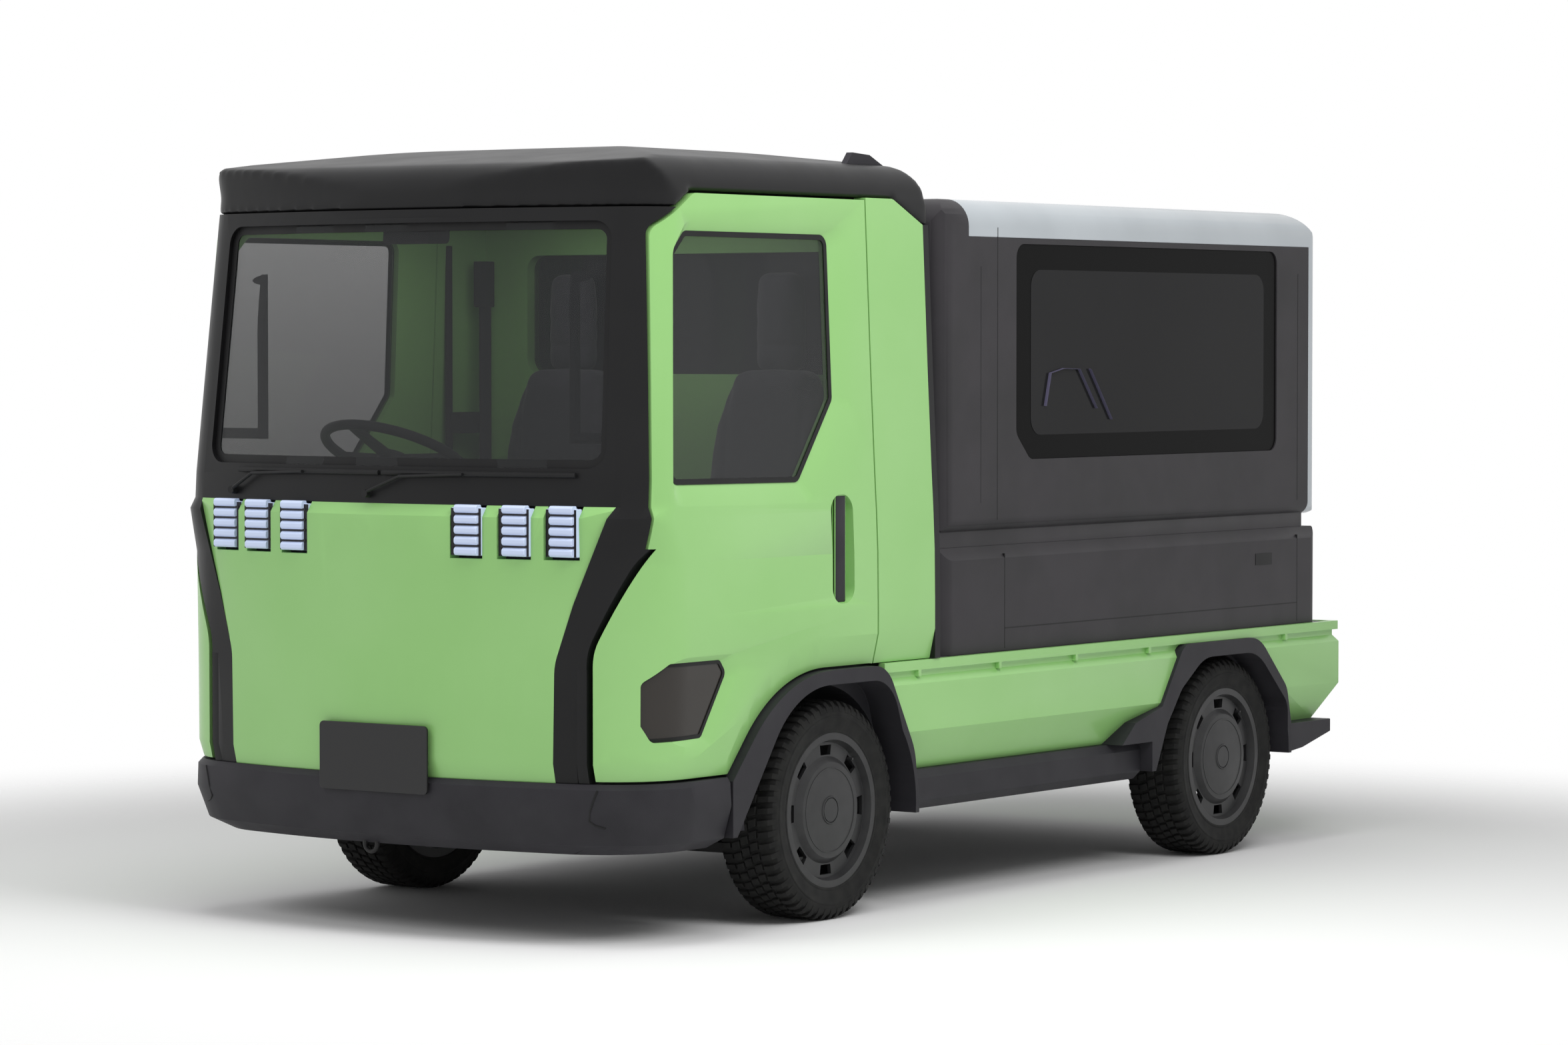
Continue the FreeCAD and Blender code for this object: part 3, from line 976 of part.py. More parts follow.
# Cargo body: a low hollow module on the deck and a tall windowed one on it
sizes(
    body_half=700, body_front=321, body_rear=1640, low_body_top=889, low_body_bevel=32, low_bevel_run=20, body_wall=40,
    high_body_foot=925, high_body_top=1770, high_body_rear=1634, high_wall=30, body_plan_round=60,
    high_top_round=70, high_foot_round=36, high_tail_round=165, high_heel_round=50, high_nose_round=90,
    roof_line=1675, roof_start=190, roof_band=1565, low_door_half=640, low_door_foot=648, low_door_top=852,
    hatch_half=610, hatch_foot=992, hatch_top=1592, pane_front=34, pane_rear=1385, pane_foot=1107, pane_top=1660,
    pane_cut=66, pane_round=36, pane_inset=4, pane_wall=10, pin_radius=4, pin_gap=0.06, pin_inset=8, pin_reach=28,
)
low_body_foot = "(deck_top + seat_gap)"


def rounded_block(name, half, front, rear, foot, top, plan_round, section, profile):
    """A block rounded in plan, in cross section and in side view: three outlines crossed."""
    plan = prism(f"{name}_plan", "XY", [
        (f"-({half})", front, plan_round), (half, front, plan_round), (half, rear, plan_round), (f"-({half})", rear, plan_round),
    ], foot, top)
    across = prism(f"{name}_section", "XZ", section, f"{front} - overrun", f"{rear} + overrun")
    along = prism(f"{name}_profile", "YZ", profile, f"-({half}) - overrun", f"{half} + overrun")
    return common(name, common(f"{name}_crossed", plan, across), along)


low_outside = rounded_block(
    "low_outside", "body_half", "-body_front", "body_rear", low_body_foot, "low_body_top", "body_plan_round",
    both_sides([("body_half", low_body_foot), ("body_half", "low_body_top - low_body_bevel"), ("body_half - low_bevel_run", "low_body_top")]),
    [("-body_front", low_body_foot), ("body_rear", low_body_foot), ("body_rear", "low_body_top - low_body_bevel"),
     ("body_rear - low_bevel_run", "low_body_top"), ("low_bevel_run - body_front", "low_body_top"), ("-body_front", "low_body_top - low_body_bevel")],
)
low_inside = box("low_inside", ("body_wall - body_half", "body_half - body_wall"), ("body_wall - body_front", "body_rear - body_wall"),
                 (f"{low_body_foot} + body_wall / 2", "low_body_top + overrun"))
low_door_hole = box("low_door_hole", ("-low_door_half - moving_gap", "low_door_half + moving_gap"), ("body_rear - 2 * body_wall", "body_rear + overrun"),
                    ("low_door_foot - 2 * moving_gap", "low_door_top + moving_gap"))


def hinge_pins(name, radius, half, y, z):
    """A pin at each side edge of a flap, on the line that it swings about."""
    pin = rod(name, "X", radius, "2 * pin_reach", f"{half} - pin_reach", y, z)
    return pin, mirrored(name + "_right", pin)


flap_line = ("body_rear - pin_inset", "low_door_foot + pin_inset")
flap = box("flap", ("-low_door_half", "low_door_half"), ("body_rear - body_wall", "body_rear"), ("low_door_foot", "low_door_top"))
keep(fuse("box_lower_shell", cut("low_shell", low_outside, low_inside, low_door_hole), *hinge_pins("flap_pin", "pin_radius", "low_door_half", *flap_line)))
keep(cut("box_lower_door", flap, *hinge_pins("flap_bore", "pin_radius + pin_gap", "(low_door_half - pin_gap)", *flap_line)))


def high_hull(name, inset):
    return rounded_block(
        name, f"body_half - {inset}", f"({inset} - body_front)", f"(high_body_rear - {inset})", f"(high_body_foot + {inset})",
        f"(high_body_top - {inset})", f"body_plan_round - {inset}",
        both_sides([
            (f"body_half - {inset}", f"high_body_foot + {inset}", f"high_foot_round - {inset}"),
            (f"body_half - {inset}", f"high_body_top - {inset}", f"high_top_round - {inset}"),
        ]),
        [
            (f"{inset} - body_front", f"high_body_foot + {inset}", f"high_heel_round - {inset}"),
            (f"high_body_rear - {inset}", f"high_body_foot + {inset}", f"high_heel_round - {inset}"),
            (f"high_body_rear - {inset}", f"high_body_top - {inset}", f"high_tail_round - {inset}"),
            (f"{inset} - body_front", f"high_body_top - {inset}", f"high_nose_round - {inset}"),
        ],
    )


high_shell = cut("high_shell", high_hull("high_outside", "0"), high_hull("high_inside", "high_wall"))
silver_region = prism("silver_region", "YZ", [
    ("-roof_start", "roof_line"), ("roof_band", "roof_line"), ("roof_band", "high_body_foot - overrun"), ("high_body_rear + overrun", "high_body_foot - overrun"),
    ("high_body_rear + overrun", "high_body_top + overrun"), ("-roof_start", "high_body_top + overrun"),
], "-body_half - overrun", "body_half + overrun")
hatch_region = prism("hatch_region", "XZ", both_sides([
    ("hatch_half", "hatch_foot", "side_round"), ("hatch_half", "hatch_top", "side_round"),
]), "high_body_rear - 2 * high_wall", "high_body_rear + overrun")
hatch_hole = prism("hatch_hole", "XZ", both_sides([
    ("hatch_half + moving_gap", "hatch_foot - moving_gap", "side_round"),
    ("hatch_half + moving_gap", "hatch_top + 2 * moving_gap", "side_round"),
]), "high_body_rear - 2 * high_wall", "high_body_rear + overrun")
pane_region = prism("pane_region", "YZ", [
    ("pane_front + pane_cut", "pane_foot", "pane_round"), ("pane_rear", "pane_foot", "pane_round"),
    ("pane_rear", "pane_top", "pane_round"), ("pane_front", "pane_top", "pane_round"), ("pane_front", "pane_foot + pane_cut", "pane_round"),
], "-body_half - overrun", "body_half + overrun")
floor_hole = box("floor_hole", ("high_wall + body_wall - body_half", "body_half - body_wall - high_wall"),
                 ("high_wall + body_wall - body_front", "high_body_rear - high_wall - body_wall"), ("low_body_top - overrun", "high_body_foot + 2 * high_wall"))
ring_outside = box("ring_outside", ("body_wall / 2 - body_half + seat_gap", "body_half - body_wall / 2 - seat_gap"),
                   ("body_wall / 2 - body_front + seat_gap", "high_body_rear - body_wall / 2 - seat_gap"), ("low_body_top + seat_gap", "high_body_foot + high_wall / 2"))
high_dark = cut("high_dark", high_shell, silver_region, pane_region)
keep(cut("box_upper_shell", fuse("box_upper_blank", high_dark, cut("ring_band", ring_outside, silver_region)), floor_hole))
hatch_line = ("high_body_rear - pin_inset", "hatch_top - pin_inset")
keep(fuse(
    "box_roof", cut("silver_shell", common("box_roof_blank", high_shell, silver_region), hatch_hole, floor_hole),
    *hinge_pins("hatch_pin", "pin_radius", "hatch_half", *hatch_line),
))
keep(cut("box_hatch", common("hatch_blank", high_shell, hatch_region), *hinge_pins("hatch_bore", "pin_radius + pin_gap", "(hatch_half - pin_gap)", *hatch_line)))
pane_left = prism("pane_left", "YZ", [
    ("pane_front + pane_cut", "pane_foot", "pane_round"), ("pane_rear", "pane_foot", "pane_round"),
    ("pane_rear", "pane_top", "pane_round"), ("pane_front", "pane_top", "pane_round"), ("pane_front", "pane_foot + pane_cut", "pane_round"),
], "body_half - pane_inset - pane_wall", "body_half - pane_inset")
keep(group("box_windows", pane_left, mirrored("pane_right", pane_left)))

# Steering: a tilted wheel on its column, which runs down to the foot pan
sizes(
    wheel_place=340, wheel_back=1200, wheel_height=1130, wheel_tilt=25, grip_ring=180, grip_thick=12, boss_radius=46,
    boss_depth=36, ring_sides=8, spoke_width=34, spoke_wall=12, column_radius=26,
)
column_angle = FreeCAD.Rotation(FreeCAD.Vector(1, 0, 0), -value("wheel_tilt"))


def tilted(thing, down):
    """Places a piece on the column's slanting line, some way down from the wheel's middle."""
    thing.Placement = FreeCAD.Placement(FreeCAD.Vector(), column_angle)
    return put(thing, "-wheel_place", f"-wheel_back - sin(wheel_tilt) * {down}", f"wheel_height - cos(wheel_tilt) * {down}")


ring = spun("ring", [
    (f"grip_thick * cos({corner} * 360 / ring_sides)", f"grip_ring + grip_thick * sin({corner} * 360 / ring_sides)")
    for corner in range(int(value("ring_sides")))
])
ring.Placement = FreeCAD.Placement(FreeCAD.Vector(), FreeCAD.Rotation(FreeCAD.Vector(0, 1, 0), -90))
spokes = []
for number, angle in enumerate((0, 180, 270)):
    spoke = box(f"spoke_{number}", ("0", "grip_ring"), ("-spoke_width / 2", "spoke_width / 2"), ("-spoke_wall", "0"))
    spoke.Placement = FreeCAD.Placement(FreeCAD.Vector(), FreeCAD.Rotation(FreeCAD.Vector(0, 0, 1), angle))
    shift = {0: ("0", "-spoke_width / 2"), 180: ("0", "spoke_width / 2"), 270: ("-spoke_width / 2", "0")}[angle]
    spokes.append(put(spoke, *shift, "-spoke_wall"))
boss = rod("boss", "Z", "boss_radius", "boss_depth", "0", "0", "-boss_depth")
keep(tilted(fuse("steering_wheel", ring, boss, *spokes), 0))

# Dashboard: a dark shelf that follows the cab's inner wall, with the steering column
sizes(
    dash_foot=880, dash_top=1085, dash_rear=1400, dash_half=560, dash_slope=35, dash_round=30,
    shroud_half=42, shroud_rear=1275, shroud_foot=905, shroud_top=1010,
)
dash_block = prism("dash_block", "YZ", [
    (side_front, "dash_foot"), ("-dash_rear", "dash_foot", "dash_round"), ("-dash_rear - dash_slope", "dash_top", "dash_round"),
    (side_front, "dash_top"),
], "-dash_half", "dash_half")
column_length = "((wheel_height - cab_foot) / cos(wheel_tilt) - boss_depth)"
column_bar = tilted(
    rod("column_bar", "Z", "column_radius", f"2 * {column_length}", "0", "0", "0"),
    f"(boss_depth + seat_gap + 2 * {column_length})",
)
column = common("column", column_bar, box(
    "column_room", ("-cab_half_width", "0"), (side_front, "0"), ("cab_foot + seat_gap", "overall_height")))
shroud = box("shroud", ("-wheel_place - shroud_half", "shroud_half - wheel_place"), ("-dash_rear - dash_slope - dash_round", "-shroud_rear"),
             ("shroud_foot", "shroud_top"))
keep(fuse("dashboard", common("dash_shelf", cab_inside, dash_block), column, shroud))

# Seats: cushions on the step, backs with head rests against the rear wall
sizes(
    seat_place=330, cushion_half=215, cushion_front=1010, cushion_rear=575, cushion_top=756, cushion_round=60,
    back_half=200, back_lean=45, back_thick=115, back_top=1335, back_round=45, rest_half=80, rest_depth=80, rest_foot=1345,
    rest_top=1590, rest_round=30, seat_air=4, rest_stem=14,
)
back_rear = f"({cab_rear} - rear_wall - seat_air)"


def seat(side):
    middle = f"{side} * seat_place"
    cushion = prism(f"cushion_{'left' if side > 0 else 'right'}", "XY", [
        (f"{middle} - cushion_half", "-cushion_front", "cushion_round"), (f"{middle} + cushion_half", "-cushion_front", "cushion_round"),
        (f"{middle} + cushion_half", "-cushion_rear", "back_round"), (f"{middle} - cushion_half", "-cushion_rear", "back_round"),
    ], "back_foot + seat_gap", "cushion_top")
    back = prism(f"back_{'left' if side > 0 else 'right'}", "YZ", [
        (f"{back_rear} - back_thick - back_lean", "cushion_top + seat_gap"), (f"{back_rear} - back_lean", "cushion_top + seat_gap"),
        (back_rear, "back_top", "back_round"), (f"{back_rear} - back_thick", "back_top", "back_round"),
    ], f"{middle} - back_half", f"{middle} + back_half")
    rest = prism(f"rest_{'left' if side > 0 else 'right'}", "YZ", [
        (f"{back_rear} - rest_depth - seat_air", "rest_foot", "rest_round"), (f"{back_rear} - seat_air", "rest_foot", "rest_round"),
        (f"{back_rear} - seat_air", "rest_top", "rest_round"), (f"{back_rear} - rest_depth - seat_air", "rest_top", "rest_round"),
    ], f"{middle} - rest_half", f"{middle} + rest_half")
    stem = rod(f"stem_{'left' if side > 0 else 'right'}", "Z", "rest_stem", "2 * rest_stem + rest_foot - back_top", middle,
               f"{back_rear} - seat_air - rest_depth / 2", "back_top - rest_stem")
    return cushion, fuse(f"seat_back_{'left' if side > 0 else 'right'}", back, rest, stem)


left_cushion, left_back = seat(1)
right_cushion, right_back = seat(-1)
keep(group("seat_cushions", left_cushion, right_cushion))
keep(group("seat_backs", left_back, right_back))

# Cab trim: pillar grips, the sensor box under the windscreen's top and a hook at each rear corner of the roof
sizes(
    handle_place=480, handle_back=1535, handle_foot=1185, handle_top=1560, handle_radius=13, handle_root=640,
    sensor_half=70, sensor_back=1490, sensor_foot=1642, sensor_top=1712, sensor_round=15,
    roof_hook_place=600, roof_hook_width=18, roof_hook_front=600, roof_hook_rear=350, roof_hook_foot=1735,
    roof_hook_top=1880,
)
roof_hook_shares = [
    (0.04, 0.78), (0.14, 0.98), (0.44, 0.95), (0.856, 0.65, "handle_radius"), (1, 0.17), (1, 0), (0.5, 0.2),
]
roof_hook_eye_shares = [(0.846, 0.352), (0.912, 0.417), (0.724, 0.73), (0.688, 0.616)]
handle = fuse(
    "handle",
    rod("handle_bar", "Z", "handle_radius", "handle_top - handle_foot + 2 * handle_radius", "handle_place", "-handle_back", "handle_foot - handle_radius"),
    *[rod(f"handle_arm_{end}", "X", "handle_radius", "handle_root - handle_place", "handle_place", "-handle_back", f"handle_{end}")
      for end in ("foot", "top")],
)
handle_left = common("handle_left", cab_inside, handle)
sensor_box = common("sensor_box", cab_inside, prism("sensor_block", "YZ", [
    (side_front, "sensor_foot"), ("-sensor_back", "sensor_foot", "sensor_round"), ("-sensor_back", "sensor_top"),
    (side_front, "sensor_top"),
], "-sensor_half", "sensor_half"))
roof_hook_limits = "-roof_hook_front", "-roof_hook_rear", "roof_hook_foot", "roof_hook_top"
roof_hook_eye = prism(
    "roof_hook_eye", "YZ", in_box(roof_hook_eye_shares, *roof_hook_limits), "roof_hook_place - overrun", "roof_hook_place + overrun")
roof_hook = cut("roof_hook", prism(
    "roof_hook_block", "YZ", in_box(roof_hook_shares, *roof_hook_limits), "roof_hook_place - roof_hook_width", "roof_hook_place",
), cab_outside, roof_hook_eye)
keep(group(
    "cab_trim", handle_left, mirrored("handle_right", handle_left), sensor_box, roof_hook, mirrored("roof_hook_right", roof_hook),
))

doc.recompute()

# Check every object, then write each sub-part to its own file
failed = [item.Name for item in doc.Objects if "Invalid" in item.State or "Error" in item.State]
if failed:
    raise SystemExit(f"not computed: {failed}")
os.makedirs("parts", exist_ok=True)
for piece in nodes:
    if piece.Shape.isNull() or not piece.Shape.isValid():
        raise SystemExit(f"bad shape: {piece.Name}")
    piece.Shape.exportStep(f"parts/{piece.Label}.step")
    print(piece.Name, len(piece.Shape.Solids), round(piece.Shape.Volume / 1000), piece.Shape.BoundBox)
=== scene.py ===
import bpy
import bmesh
import json
import math
from mathutils import Matrix, Vector
from mathutils.bvhtree import BVHTree

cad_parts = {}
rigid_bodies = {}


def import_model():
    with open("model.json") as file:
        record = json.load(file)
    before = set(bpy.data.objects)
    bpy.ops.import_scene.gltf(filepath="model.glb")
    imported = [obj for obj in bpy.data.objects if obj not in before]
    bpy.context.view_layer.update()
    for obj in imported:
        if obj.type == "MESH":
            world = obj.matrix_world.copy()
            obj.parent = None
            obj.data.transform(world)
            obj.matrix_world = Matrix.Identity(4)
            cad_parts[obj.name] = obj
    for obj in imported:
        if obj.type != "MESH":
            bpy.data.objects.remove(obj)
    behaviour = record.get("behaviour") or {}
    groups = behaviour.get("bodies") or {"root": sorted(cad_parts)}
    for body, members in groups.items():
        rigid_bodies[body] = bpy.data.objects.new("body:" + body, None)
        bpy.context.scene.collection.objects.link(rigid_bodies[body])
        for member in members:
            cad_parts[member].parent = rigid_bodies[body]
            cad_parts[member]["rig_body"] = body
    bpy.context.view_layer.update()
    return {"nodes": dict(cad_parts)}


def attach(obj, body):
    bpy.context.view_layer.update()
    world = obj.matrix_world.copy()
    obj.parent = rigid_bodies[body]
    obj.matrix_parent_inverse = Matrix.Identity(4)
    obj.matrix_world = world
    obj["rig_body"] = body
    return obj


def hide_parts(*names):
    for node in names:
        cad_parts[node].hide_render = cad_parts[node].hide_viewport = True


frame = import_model()


# Underbody: two pressed steel rails with their cross members, the axles on their springs, and the engine
# between them. The rails are welded, dipped in black chassis paint and carry the axles on bolts. The engine
# and the knuckles are raw sand castings.
def linear(colour):
    """An sRGB hex colour as the linear numbers that a shader takes."""
    channels = [int(colour[at:at + 2], 16) / 255 for at in (1, 3, 5)]
    return [c / 12.92 if c <= 0.04045 else ((c + 0.055) / 1.055) ** 2.4 for c in channels] + [1]


def add_node(tree, kind, inputs, **settings):
    """Adds a node. An input is a value, or the socket that feeds it."""
    node = tree.nodes.new(kind)
    for name, setting in settings.items():
        setattr(node, name, setting)
    for name, value in inputs.items():
        if isinstance(value, bpy.types.NodeSocket):
            tree.links.new(value, node.inputs[name])
        else:
            node.inputs[name].default_value = value
    return node


def make_finish(name, colour, **sockets):
    """A material with one main shader. Socket names have underscores for spaces."""
    finish = bpy.data.materials.new(name)
    finish.use_nodes = True
    shader = finish.node_tree.nodes["Principled BSDF"]
    shader.inputs["Base Color"].default_value = linear(colour)
    for socket, value in sockets.items():
        shader.inputs[socket.replace("_", " ")].default_value = value
    return finish


tone_shares = (0.35, 0.65)


def mottle(finish, colour, other, grain, detail=3.0):
    """Lets the colour wander between two tones, with patches of a real size in metres."""
    tree = finish.node_tree
    place = add_node(tree, "ShaderNodeTexCoord", {}).outputs["Object"]
    noise = add_node(tree, "ShaderNodeTexNoise", {"Vector": place, "Scale": 1 / grain, "Detail": detail})
    ramp = add_node(tree, "ShaderNodeValToRGB", {"Fac": noise.outputs["Fac"]})
    for stop, share, tone in zip(ramp.color_ramp.elements, tone_shares, (colour, other)):
        stop.position = share
        stop.color = linear(tone)
    tree.links.new(ramp.outputs["Color"], tree.nodes["Principled BSDF"].inputs["Base Color"])


patches_per_metre = 9.0


def roughen(finish, grain, height, low, high, kind="ShaderNodeTexNoise"):
    """A bumpy skin with bumps of a real size in metres, and a roughness that varies over it."""
    tree = finish.node_tree
    shader = tree.nodes["Principled BSDF"]
    place = add_node(tree, "ShaderNodeTexCoord", {}).outputs["Object"]
    bumps = add_node(tree, kind, {"Vector": place, "Scale": 1 / grain})
    relief = bumps.outputs["Distance" if kind == "ShaderNodeTexVoronoi" else "Fac"]
    bump = add_node(tree, "ShaderNodeBump", {"Height": relief, "Strength": 1.0, "Distance": height})
    tree.links.new(bump.outputs["Normal"], shader.inputs["Normal"])
    patches = add_node(
        tree, "ShaderNodeTexNoise", {"Vector": place, "Scale": patches_per_metre, "Detail": 4.0})
    spread = add_node(
        tree, "ShaderNodeMapRange", {"Value": patches.outputs["Fac"], "To Min": low, "To Max": high})
    tree.links.new(spread.outputs["Result"], shader.inputs["Roughness"])


def link(name, mesh, body, slot, *node_names):
    """Puts a finished mesh in the scene, on its body, and hides the nodes that it stands for. The slot is not
    used.
    """
    piece = bpy.data.objects.new(name, mesh)
    bpy.context.scene.collection.objects.link(piece)
    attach(piece, body)
    if node_names:
        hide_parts(*node_names)
    return piece


def shade(mesh, finish, sharp=32):
    """Gives a mesh its finish, smooth but for its real edges."""
    mesh.materials.clear()
    mesh.materials.append(finish)
    mesh.shade_smooth()
    mesh.set_sharp_from_angle(angle=math.radians(sharp))
    return mesh


seam_reach = 0.00002
flat_angle = math.radians(0.3)


def merged(node):
    """A copy of the node's shape with its loose triangles joined into faces."""
    shape = bmesh.new()
    shape.from_mesh(frame["nodes"][node].data)
    bmesh.ops.remove_doubles(shape, verts=shape.verts, dist=seam_reach)
    bmesh.ops.dissolve_limit(shape, angle_limit=flat_angle, verts=shape.verts, edges=shape.edges)
    return shape


def dress(node, finish, slot, edge=0.0016, sharp=32, shape=None, name=None):
    """The node's own shape, or a part of it, with its edges broken and its finish."""
    shape = shape or merged(node)
    mesh = bpy.data.meshes.new(node)
    shape.to_mesh(mesh)
    shape.free()
    body = frame["nodes"][node]["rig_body"]
    piece = link(name or node + "_skin", shade(mesh, finish, sharp), body, slot, node)
    if edge:
        broken = piece.modifiers.new("broken_edges", "BEVEL")
        broken.width = edge
        broken.segments = 2
        broken.limit_method = "ANGLE"
        broken.angle_limit = math.radians(sharp)
        broken.harden_normals = True


# Dip paint dries to a dull black with faint paler patches.
chassis_paint = make_finish("black_chassis_paint", "#1A1A1B", Roughness=0.5, IOR=1.5, Specular_IOR_Level=0.3)
mottle(chassis_paint, "#171718", "#212020", 0.05)
roughen(chassis_paint, 0.004, 0.0001, 0.42, 0.6)
for node in ("chassis_frame", "chassis_members", "front_suspension", "rear_axle"):
    dress(node, chassis_paint, "frame_black")
# Sand leaves a fine pitted skin, which scatters what light it mirrors.
cast_iron = make_finish("sand_cast_iron", "#454444", Roughness=0.62, Metallic=0.7)
roughen(cast_iron, 0.0015, 0.0002, 0.55, 0.72)
for node in ("engine_block", "knuckle_left", "knuckle_right"):
    dress(node, cast_iron, "engine_iron", 0.004)


# Wheels and tyres: pressed steel discs welded into rolled rims, in satin black, with a plain black cover.
# Each tyre is a moulded carcass with sidewall rings, staggered tread blocks and lugs round its shoulders.
# The cover carries a raised ring, a round cap with its own lip, and a valve stem stands in one window.
def finish_piece(name, shape, finish, body, slot, *node_names, sharp=32):
    """Closes the finished shape's seams and puts it in the scene."""
    bmesh.ops.remove_doubles(shape, verts=shape.verts, dist=seam_reach)
    bmesh.ops.recalc_face_normals(shape, faces=shape.faces)
    mesh = bpy.data.meshes.new(name)
    shape.to_mesh(mesh)
    shape.free()
    link(name, shade(mesh, finish, sharp), body, slot, *node_names)


def slab(shape, low, high):
    """Adds a block from its lowest to its highest corner."""
    size = Vector(high) - Vector(low)
    middle = (Vector(high) + Vector(low)) / 2
    return bmesh.ops.create_cube(shape, size=1, matrix=Matrix.LocRotScale(middle, None, size))["verts"]


def corners_in(geometry):
    """The vertices among an operator's results."""
    return [found for found in geometry if isinstance(found, bmesh.types.BMVert)]


def edges_at(corners):
    """The edges that meet the vertices, each once."""
    return list(dict.fromkeys(edge for corner in corners for edge in corner.link_edges))


def all_at(corners):
    """The vertices with the edges and faces that meet them, each once."""
    faces = dict.fromkeys(face for corner in corners for face in corner.link_faces)
    return list(corners) + edges_at(corners) + list(faces)


def round_edges(shape, edges, offset, segments):
    """Bevels the edges."""
    return bmesh.ops.bevel(
        shape, geom=edges, offset=offset, segments=segments, profile=0.5, affect="EDGES", material=-1)


def turned(shape, points, steps):
    """Spins an outline of places along the axle and radii into a closed ring round the X axis."""
    corners = [shape.verts.new((along, 0, radius)) for along, radius in points]
    rim = [shape.edges.new(pair) for pair in zip(corners, corners[1:] + corners[:1])]
    bmesh.ops.spin(
        shape, geom=corners + rim, cent=(0, 0, 0), axis=(1, 0, 0), dvec=(0, 0, 0), angle=math.tau,
        steps=steps, use_merge=True)


def ring_of(shape, geometry, count):
    """Repeats the geometry round the X axis, evenly spaced."""
    bmesh.ops.spin(
        shape, geom=geometry, cent=(0, 0, 0), axis=(1, 0, 0), dvec=(0, 0, 0),
        angle=math.tau * (count - 1) / count, steps=count - 1, use_duplicate=True)


# Sprayed enamel has a low, soft gloss.
wheel_black = make_finish("black_wheel_enamel", "#262627", Roughness=0.42, IOR=1.5, Specular_IOR_Level=0.4)
mottle(wheel_black, "#242425", "#2B2B2C", 0.04)
roughen(wheel_black, 0.002, 0.00004, 0.36, 0.5)
# Moulded rubber is matt, with faint greyer patches.
rubber = make_finish("carbon_black_rubber", "#1F1F1F", Roughness=0.8, IOR=1.52, Specular_IOR_Level=0.2)
mottle(rubber, "#1D1D1D", "#262625", 0.03)
roughen(rubber, 0.0012, 0.0001, 0.7, 0.88)
groove_radius = 0.2615
tread_radius = 0.2683
carcass = [
    (-0.066, 0.181), (-0.0745, 0.186), (-0.0775, 0.193), (-0.0765, 0.197), (-0.0805, 0.212),
    (-0.0822, 0.226), (-0.0832, 0.2275), (-0.0832, 0.2305), (-0.0822, 0.232), (-0.0818, 0.243),
    (-0.078, 0.253), (-0.068, 0.2595), (-0.05, groove_radius),
]
carcass += [(-along, radius) for along, radius in reversed(carcass)]
carcass_steps = 96
block_rows = ((-0.0265, 0.0), (0.0, 0.5), (0.0265, 0.0))
block_count = 58
block_half_width = 0.0112
block_half_length = 0.0098
block_foot = 0.258
block_slant = 0.3
block_rounding = 0.0012
lug_section = [
    (0.043, 0.258), (0.043, tread_radius), (0.062, tread_radius - 0.0002), (0.0715, 0.2645), (0.0795, 0.2545),
    (0.0829, 0.2405), (0.078, 0.2385), (0.062, 0.252),
]
lug_half_length = 0.0068
lug_slant = 0.12
tyre_shape = bmesh.new()
turned(tyre_shape, carcass, carcass_steps)
for place, stagger in block_rows:
    block = slab(
        tyre_shape, (place - block_half_width, -block_half_length, block_foot),
        (place + block_half_width, block_half_length, tread_radius))
    for corner in block:
        corner.co.y += block_slant * (corner.co.x - place)
    shift = Matrix.Rotation(stagger * math.tau / block_count, 3, "X")
    bmesh.ops.rotate(tyre_shape, verts=block, cent=(0, 0, 0), matrix=shift)
    rounded = round_edges(tyre_shape, edges_at(block), block_rounding, 1)
    found = dict.fromkeys(corner for face in rounded["faces"] for corner in face.verts)
    ring_of(tyre_shape, all_at(found), block_count)
lug = [tyre_shape.verts.new((along, -lug_half_length, radius)) for along, radius in lug_section]
lug_face = tyre_shape.faces.new(lug)
pushed = bmesh.ops.extrude_face_region(tyre_shape, geom=[lug_face], use_keep_orig=True)
far_side = corners_in(pushed["geom"])
bmesh.ops.translate(tyre_shape, verts=far_side, vec=(0, 2 * lug_half_length, 0))
lug += far_side
for corner in lug:
    corner.co.y += lug_slant * (corner.co.x - lug_section[0][0])
lug_parts = all_at(lug)
other_lug = bmesh.ops.duplicate(tyre_shape, geom=lug_parts)["geom"]
half_turn = Matrix.Rotation(math.pi, 3, "Z")
bmesh.ops.rotate(tyre_shape, verts=corners_in(other_lug), cent=(0, 0, 0), matrix=half_turn)
ring_of(tyre_shape, lug_parts, block_count)
ring_of(tyre_shape, other_lug, block_count)

cover_face = 0.072
trim_foot = cover_face - 0.002
trim_rings = ((0.0012, (0.1005, 0.102, 0.1045, 0.106)), (0.0025, (0.030, 0.0315, 0.0335, 0.0365)))
trim_steps = 64
cap_radius = 0.0305
stem_place = (0.055, 0.1, 0.118)
wheel_shape = bmesh.new()
for proud, (inner, rise, fall, outer) in trim_rings:
    top = cover_face + proud
    turned(wheel_shape, [(trim_foot, inner), (top, rise), (top, fall), (trim_foot, outer)], trim_steps)
quarter = Matrix.Rotation(math.pi / 2, 4, "Y")
bmesh.ops.create_cone(
    wheel_shape, cap_ends=True, segments=48, radius1=cap_radius, radius2=cap_radius - 0.002, depth=0.004,
    matrix=Matrix.Translation((cover_face + 0.0002, 0, 0)) @ quarter)
bmesh.ops.create_cone(
    wheel_shape, cap_ends=True, segments=12, radius1=0.0045, radius2=0.003, depth=0.03,
    matrix=Matrix.Translation(stem_place) @ quarter)
half_track = 0.617
axle_height = 0.2685
axle_places = {"fl": (1, -0.79), "fr": (-1, -0.79), "rl": (1, 1.11), "rr": (-1, 1.11)}
